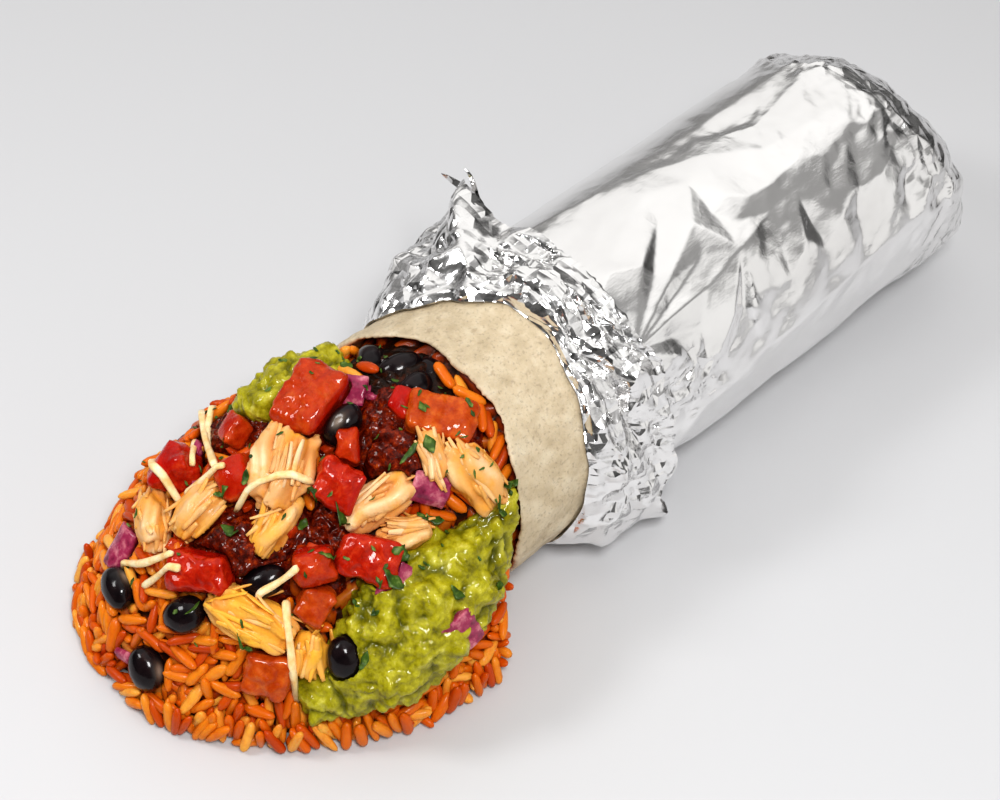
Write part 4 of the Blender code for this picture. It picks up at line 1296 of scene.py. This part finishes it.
def herbs(material, ground):
    """Chopped leaves and fine flecks of herb."""
    batch = Batch()
    rng = np.random.default_rng(141)
    leaves = [(np.array(place) / 1000, length / 1000, width / 1000) for place, length, width in HERB_LEAVES]
    skin = heap_skin()[0]
    skin = skin[(skin[:, 2] > 0.022) & (skin[:, 0] < RIM_X - 0.002)]
    for pick in rng.choice(len(skin), 100, replace=False):
        leaves.append((skin[pick][:2], rng.uniform(0.0010, 0.0024), rng.uniform(0.0005, 0.0012)))
    for place, length, width in leaves:
        turn = rng.uniform(0, math.tau)
        way = np.array([math.cos(turn), math.sin(turn)])
        t = np.linspace(-0.5, 0.5, 7)
        line = place + t[:, None] * length * way
        heights = np.array([ground.height(x, y) for x, y in line])
        heights = heights.max() * 0.5 + heights * 0.5
        if heights.min() < HERB_LOWEST:
            continue
        curl = rng.uniform(0.02, 0.22) * length
        path = np.column_stack([line, heights + 0.0002 + curl * (2 * t) ** 2])
        tip = np.maximum(1 - (2 * t) ** 2, 0.02) ** 0.6 * (1 + 0.25 * np.sin(9 * t + turn))
        batch.add(*tube(path, (rng.normal(0, 0.25), rng.normal(0, 0.25), 1), width * tip, 0.00012 * tip + 0.00006))
    return batch.piece("herbs", material, "guacamole")


TOMATO_BITS = ((-112, -8, 12), (-150, 4, 12), (-136, 30, 10), (-141, -10, 10), (-128, 8, 8), (-160, 20, 8))
ONION_BITS = ((-111, 7, 5), (-132, -22, 7), (-118, -20, 6), (-150, 30, 10))


def bits(name, material, slot, ground, spots, count, size, seed, **values):
    """Small chopped bits strewn round some places, given as (x, y, reach) in mm."""
    batch = Batch()
    rng = np.random.default_rng(seed)
    bm = bmesh.new()
    bmesh.ops.create_cube(bm, size=1)
    bmesh.ops.subdivide_edges(bm, edges=bm.edges, cuts=4, use_grid_fill=True)
    block = np.array([v.co[:] for v in bm.verts])
    faces = [tuple(v.index for v in f.verts) for f in bm.faces]
    bm.free()
    ball = block / np.linalg.norm(block, axis=1, keepdims=True) * 0.62
    for _ in range(count):
        x, y, reach = spots[rng.integers(len(spots))]
        place = np.array([x, y]) / 1000 + rng.normal(0, 0.45, 2) * reach / 1000
        shape = mix(block, ball, 0.35)
        shape = shape * (1 + 0.16 * lumps(block * 2 + rng.uniform(0, 50), 0.8, seed, 2)[:, None])
        shape[:, 0] += rng.uniform(-0.5, 0.5) * shape[:, 1]
        shape *= rng.uniform(*size, 3) * np.array([1, 1, 0.7])
        tilt = Euler((*rng.uniform(-0.5, 0.5, 2), rng.uniform(0, 6))).to_matrix()
        z = ground.height(*place) - 0.15 * size[1]
        batch.add(shape @ np.array(tilt) + [*place, z], faces, **values)
    return batch.piece(name, material, slot)


def nodes_of(kind):
    names = [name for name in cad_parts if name.rsplit("_", 1)[0] == kind]
    return sorted(names, key=lambda name: int(name.rsplit("_", 1)[1]))


# How orange each diced tomato is, by number; the others are deep red.
TOMATO_WARMTH = {1: 0.45, 3: 0.5, 5: 0.35, 6: 0.9, 8: 0.35, 9: 0.8, 11: 0.95, 12: 0.5}


def tomatoes(material):
    batch = Batch()
    for number, node in enumerate(nodes_of("tomato")):
        points, faces, edges = remeshed(node, PIECE_VOXEL, 2)
        out = normals_of(points, faces)
        middle, axes = long_axes(points)
        side = axes[2] if axes[2][2] > 0 else -axes[2]
        side = side if number % 3 else axes[1] * (1 if axes[1][2] > 0 else -1)
        skin = smooth(0.60, 0.85, out @ side) * (0 if number in (5, 8, 10) else 1)
        dents = 0.0011 * np.minimum(lumps(points, 0.0075, 60 + number, 2), 0.35)
        ridges = 0.00045 * (1 - 2 * np.abs(cloud(points, 0.0030, 75 + number))) + 0.00018 * lumps(points, 0.0013, 79, 2)
        relief = dents * (1 - 0.4 * skin) + ridges * (1 - 0.85 * skin) - 0.0001
        warm = TOMATO_WARMTH.get(number + 1, 0.08)
        batch.add(points + out * relief[:, None], faces, skin=skin * (1 - warm * 0.7), warm=warm)
    return batch.piece("tomatoes", material, "tomato", *nodes_of("tomato"))


def beans(material):
    batch = Batch()
    for node in nodes_of("bean"):
        points, faces, _ = remeshed(node, 0.0006, 7)
        out = normals_of(points, faces)
        middle, axes = long_axes(points)
        local = (points - middle) @ axes.T
        dent = np.exp(-((local[:, 0] / 0.0018) ** 2) - ((local[:, 2] / 0.0010) ** 2)) * (local[:, 1] > 0)
        relief = 0.00012 * lumps(points, 0.004, 71, 2) - 0.0004 * dent + 0.00035
        batch.add(points + out * relief[:, None], faces, hilum=np.clip(dent * 0.7, 0, 1))
    return batch.piece("beans", material, "bean", *nodes_of("bean"))


# How golden each piece of chicken is, by number.
CHICKEN_GOLD = {1: 0.1, 2: 0.3, 3: 0.45, 4: 1.0, 5: 0.15, 6: 0.3, 7: 0.35, 8: 0.25, 9: 0.8, 10: 1.0}


def chicken(material):
    """Pulled pieces with deep ridges along the grain and flat shreds that come away at their ends."""
    batch = Batch()
    rng = np.random.default_rng(81)
    for number, node in enumerate(nodes_of("chicken")):
        points, faces, _ = remeshed(node, PIECE_VOXEL, 3)
        out = normals_of(points, faces)
        middle, axes = long_axes(points)
        local = (points - middle) @ axes.T
        reach = np.abs(local[:, 0]).max()
        along = local * np.array([0.16, 1, 1]) + np.array([0, 0.0010, 0]) * np.sin(local[:, :1] * 330)
        ridge = 2 * np.abs(cloud(along, 0.0036, 82 + number)) ** 0.7 - 0.8
        fibre = 2 * np.abs(cloud(along, 0.0016, 92 + number)) - 0.6
        ragged = smooth(0.45, 1.0, np.abs(local[:, 0]) / reach)
        relief = 0.0011 * ridge + 0.00040 * fibre + ragged * 0.0011 * cloud(along, 0.0018, 97) + 0.0002
        # The tone follows the ridges and fibres, so the grooves are darker: painted shade, with random tone variation
        # over it.
        tone = 0.56 + 0.42 * ridge + 0.14 * fibre + 0.14 * lumps(points, 0.006, 84, 2)
        golden = CHICKEN_GOLD[number + 1] * np.clip(0.7 + 0.5 * lumps(points, 0.006, 85, 2), 0, 1)
        batch.add(points + out * relief[:, None], faces, tone=np.clip(tone, 0, 1), golden=golden)
        upper = np.flatnonzero(out[:, 2] > 0.15)
        for pick in rng.choice(upper, 15, replace=False):
            way = axes[0] * (1 if local[pick][0] > 0 else -1)
            way = way - out[pick] * (way @ out[pick]) * 0.8 + axes[1] * rng.normal(0, 0.10)
            way /= np.linalg.norm(way)
            length = rng.uniform(0.006, 0.012)
            t = np.linspace(0, 1, 9)[:, None]
            start = points[pick] - way * length * 0.65 - out[pick] * 0.0002
            bend = axes[1] * rng.uniform(-0.16, 0.16) + out[pick] * rng.uniform(-0.05, 0.14)
            path = start + way * length * t + bend * length * t * t
            profile = np.sin(math.pi * (0.10 + 0.80 * t[:, 0])) ** 0.5
            width = rng.uniform(0.0012, 0.0021) * profile
            made, made_faces = tube(path, out[pick], width, width * rng.uniform(0.45, 0.7))
            gold = CHICKEN_GOLD[number + 1] * rng.uniform(0.3, 1.0)
            batch.add(made, made_faces, tone=rng.uniform(0.55, 1.0), golden=gold)
    return batch.piece("chicken", material, "chicken", *nodes_of("chicken"))


# How far a piece of onion stands out of the mash it is set into, by number: (x, y, z) in mm.
ONION_LIFT = {3: (-0.3, -1.0, 1.5), 4: (-1.0, -4.2, 5.2)}


def onions(material):
    batch = Batch()
    for number, node in enumerate(nodes_of("onion")):
        points, faces, _ = remeshed(node, 0.0005, 3)
        out = normals_of(points, faces)
        relief = 0.0002 * lumps(points, 0.003, 100 + number, 2)
        lift = np.array(ONION_LIFT.get(number + 1, (0, 0, 0))) / 1000
        batch.add(points + out * relief[:, None] + lift, faces)
    return batch.piece("onions", material, "onion", *nodes_of("onion"))


def masses(kind, material, size, depth, seed, near):
    """A wet mash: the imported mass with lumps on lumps, lower where other food is set into it."""
    batch = Batch()
    for number, node in enumerate(nodes_of(kind)):
        points, faces, _ = remeshed(node, PIECE_VOXEL, 5)
        out = normals_of(points, faces)
        gap = np.array([near.find_nearest(Vector(point))[3] for point in points])
        free = smooth(0.0002, 0.0035, gap)
        lump = lumps(points, size, seed + number, 2, 0.5)
        clump = 2 * np.abs(cloud(points, size * 0.62, seed + 5)) ** 0.8 - 0.7
        chunk = 2 * np.abs(cloud(points, size * 0.30, seed + 9)) ** 0.8 - 0.7
        fine = 2 * np.abs(cloud(points, size * 0.13, seed + 7)) ** 0.8 - 0.7
        relief = depth * (0.7 * lump + 0.75 * clump + 0.50 * chunk + 0.24 * fine)
        moved = points + out * (relief * mix(0.2, 1, free) - 0.0005 * (1 - free))[:, None]
        moved[:, 2] = np.maximum(moved[:, 2], 0.0004)
        # Painted shade in the hollows: 1 where the lumps are lowest, 0 on their tops.
        hollow = smooth(0.05, -0.70, 0.55 * clump + 0.45 * chunk + 0.2 * lump + 0.15 * fine)
        batch.add(moved, faces, hollow=hollow)
    return batch.piece(kind + "_mash", material, kind, *nodes_of(kind))


# ---------------------------------------------------------------- floor, light and camera
def floor():
    made = principled("floor", Base_Color=(0.58, 0.58, 0.59, 1), Roughness=0.7)
    bpy.ops.mesh.primitive_plane_add(size=6, location=(0, 0, -0.0002))
    plane = bpy.context.active_object
    plane.name = "floor"
    plane.data.materials.append(made)


def softbox(name, place, size, power, aim=(-0.04, 0, 0.03)):
    data = bpy.data.lights.new(name, "AREA")
    data.shape = "RECTANGLE"
    data.size, data.size_y = size
    data.energy = power
    obj = bpy.data.objects.new(name, data)
    obj.location = place
    obj.rotation_euler = (Vector(aim) - Vector(place)).to_track_quat("-Z", "Y").to_euler()
    bpy.context.scene.collection.objects.link(obj)


# The studio's brightness along the arc over the burrito, from the far horizon (0) to the near one (1):
# a grey far wall, a white ceiling, a dark gap and a pale near wall.
SKY = ((0.0, 0.22), (0.08, 0.28), (0.15, 0.84), (0.50, 0.96), (0.59, 0.68), (0.64, 0.31), (0.75, 0.31),
       (0.82, 0.78), (1.0, 0.72))
# Its brightness from the end wall in front of the mouth (0) to the one beyond the foil (1).
END_WALLS = ((0.0, 0.12), (0.30, 0.16), (0.46, 1.0), (0.84, 1.0), (0.92, 0.16), (1.0, 0.12))


def sky_curve(tree, source, stops):
    """Brightness along a line through the studio, from (position, level) stops."""
    curve = tree.nodes.new("ShaderNodeValToRGB")
    elements = curve.color_ramp.elements
    while len(elements) < len(stops):
        elements.new(0.5)
    for element, (position, level) in zip(elements, stops):
        element.position = position
        element.color = (level, level, level, 1)
    tree.links.new(source, curve.inputs["Fac"])
    return curve.outputs["Color"]


def sky_math(tree, operation, first, second):
    """A maths node: each value is a socket or a number."""
    made = tree.nodes.new("ShaderNodeMath")
    made.operation = operation
    for value, socket in zip((first, second), made.inputs):
        if isinstance(value, float):
            socket.default_value = value
        else:
            tree.links.new(value, socket)
    return made.outputs[0]


def lights():
    """A soft studio whose brightness changes over the burrito, with a key light and a window."""
    world = bpy.data.worlds.new("studio")
    world.use_nodes = True
    bpy.context.scene.world = world
    tree = world.node_tree
    background = tree.nodes["Background"]
    background.inputs["Color"].default_value = (1.0, 0.99, 0.975, 1)
    coordinates = tree.nodes.new("ShaderNodeTexCoord")
    parts = tree.nodes.new("ShaderNodeSeparateXYZ")
    tree.links.new(coordinates.outputs["Generated"], parts.inputs[0])
    turn = sky_math(tree, "ARCTAN2", parts.outputs["Z"], parts.outputs["Y"])
    over = sky_curve(tree, sky_math(tree, "DIVIDE", turn, math.pi), SKY)
    length = sky_math(tree, "ADD", sky_math(tree, "MULTIPLY", parts.outputs["X"], 0.5), 0.5)
    strength = sky_math(tree, "MULTIPLY", over, sky_curve(tree, length, END_WALLS))
    tree.links.new(strength, background.inputs["Strength"])
    softbox("key", (-0.30, -0.38, 0.74), (0.20, 0.20), 4.6)
    softbox("window", (-0.50, 0.36, 0.62), (0.20, 0.20), 2.0)


def camera():
    elevation, azimuth = math.radians(CAMERA_ELEVATION), math.radians(CAMERA_AZIMUTH)
    away = Vector((math.sin(azimuth) * math.cos(elevation), -math.cos(azimuth) * math.cos(elevation),
                   math.sin(elevation)))
    data = bpy.data.cameras.new("camera")
    data.lens = CAMERA_LENS
    obj = bpy.data.objects.new("camera", data)
    obj.location = CAMERA_TARGET + away * CAMERA_DISTANCE
    obj.rotation_euler = (-away).to_track_quat("-Z", "Y").to_euler()
    bpy.context.scene.collection.objects.link(obj)
    bpy.context.scene.camera = obj


# ---------------------------------------------------------------- the scene
camera()
lights()
floor()
foil_piece(foil_material())
tortilla_piece(tortilla_material())
# The core takes a darker copy of the rice's colours, painted shade under the loose grains, with near-black painted
# shade between its pressed grains.
rice_core(rice_material("rice_core", 0.60, (0.024, 0.005, 0.001)))
toppings = [n for kind in ("tomato", "bean", "chicken", "onion", "guacamole", "salsa") for n in nodes_of(kind)]
salsa_look = salsa_material()
salsa_smears = smears("salsa_smears", SALSA_SMEARS, salsa_look, "salsa", 0.0017, 151)
bean_smears = smears("bean_smears", BEAN_SMEARS, bean_mash_material(), "bean", 0.0034, 171)
set_in = [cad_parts[n] for n in toppings if not n.startswith(("guacamole", "salsa"))]
solids = tree_of(salsa_smears, bean_smears, *[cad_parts[n] for n in toppings + ["tortilla", "foil_wrap"]])
grains = rice_grains(rice_material("rice", 1.0, (0.44, 0.050, 0.001)), solids)
tomato_look = tomato_material()
laid = [tomatoes(tomato_look), beans(bean_material()), chicken(chicken_material())]
onion_look = onion_material()
laid.append(onions(onion_look))
near = tree_of(*set_in)
laid.append(masses("guacamole", guacamole_material(), 0.010, 0.0019, 110, near))
laid.append(masses("salsa", salsa_look, 0.006, 0.0013, 120, near))
sauce = Ground(grains, salsa_smears, bean_smears)
bits("tomato_bits", tomato_look, "tomato", sauce, TOMATO_BITS, 26, (0.0020, 0.0046), 161, skin=0.0, warm=0.5)
bits("onion_bits", onion_look, "onion", sauce, ONION_BITS, 8, (0.0016, 0.0036), 163)
ground = Ground(*laid, grains, salsa_smears, bean_smears)
cheese(cheese_material(), ground)
herbs(herb_material(), ground)

bpy.context.scene.view_settings.view_transform = "Standard"
bpy.context.scene.view_settings.look = "Medium High Contrast"
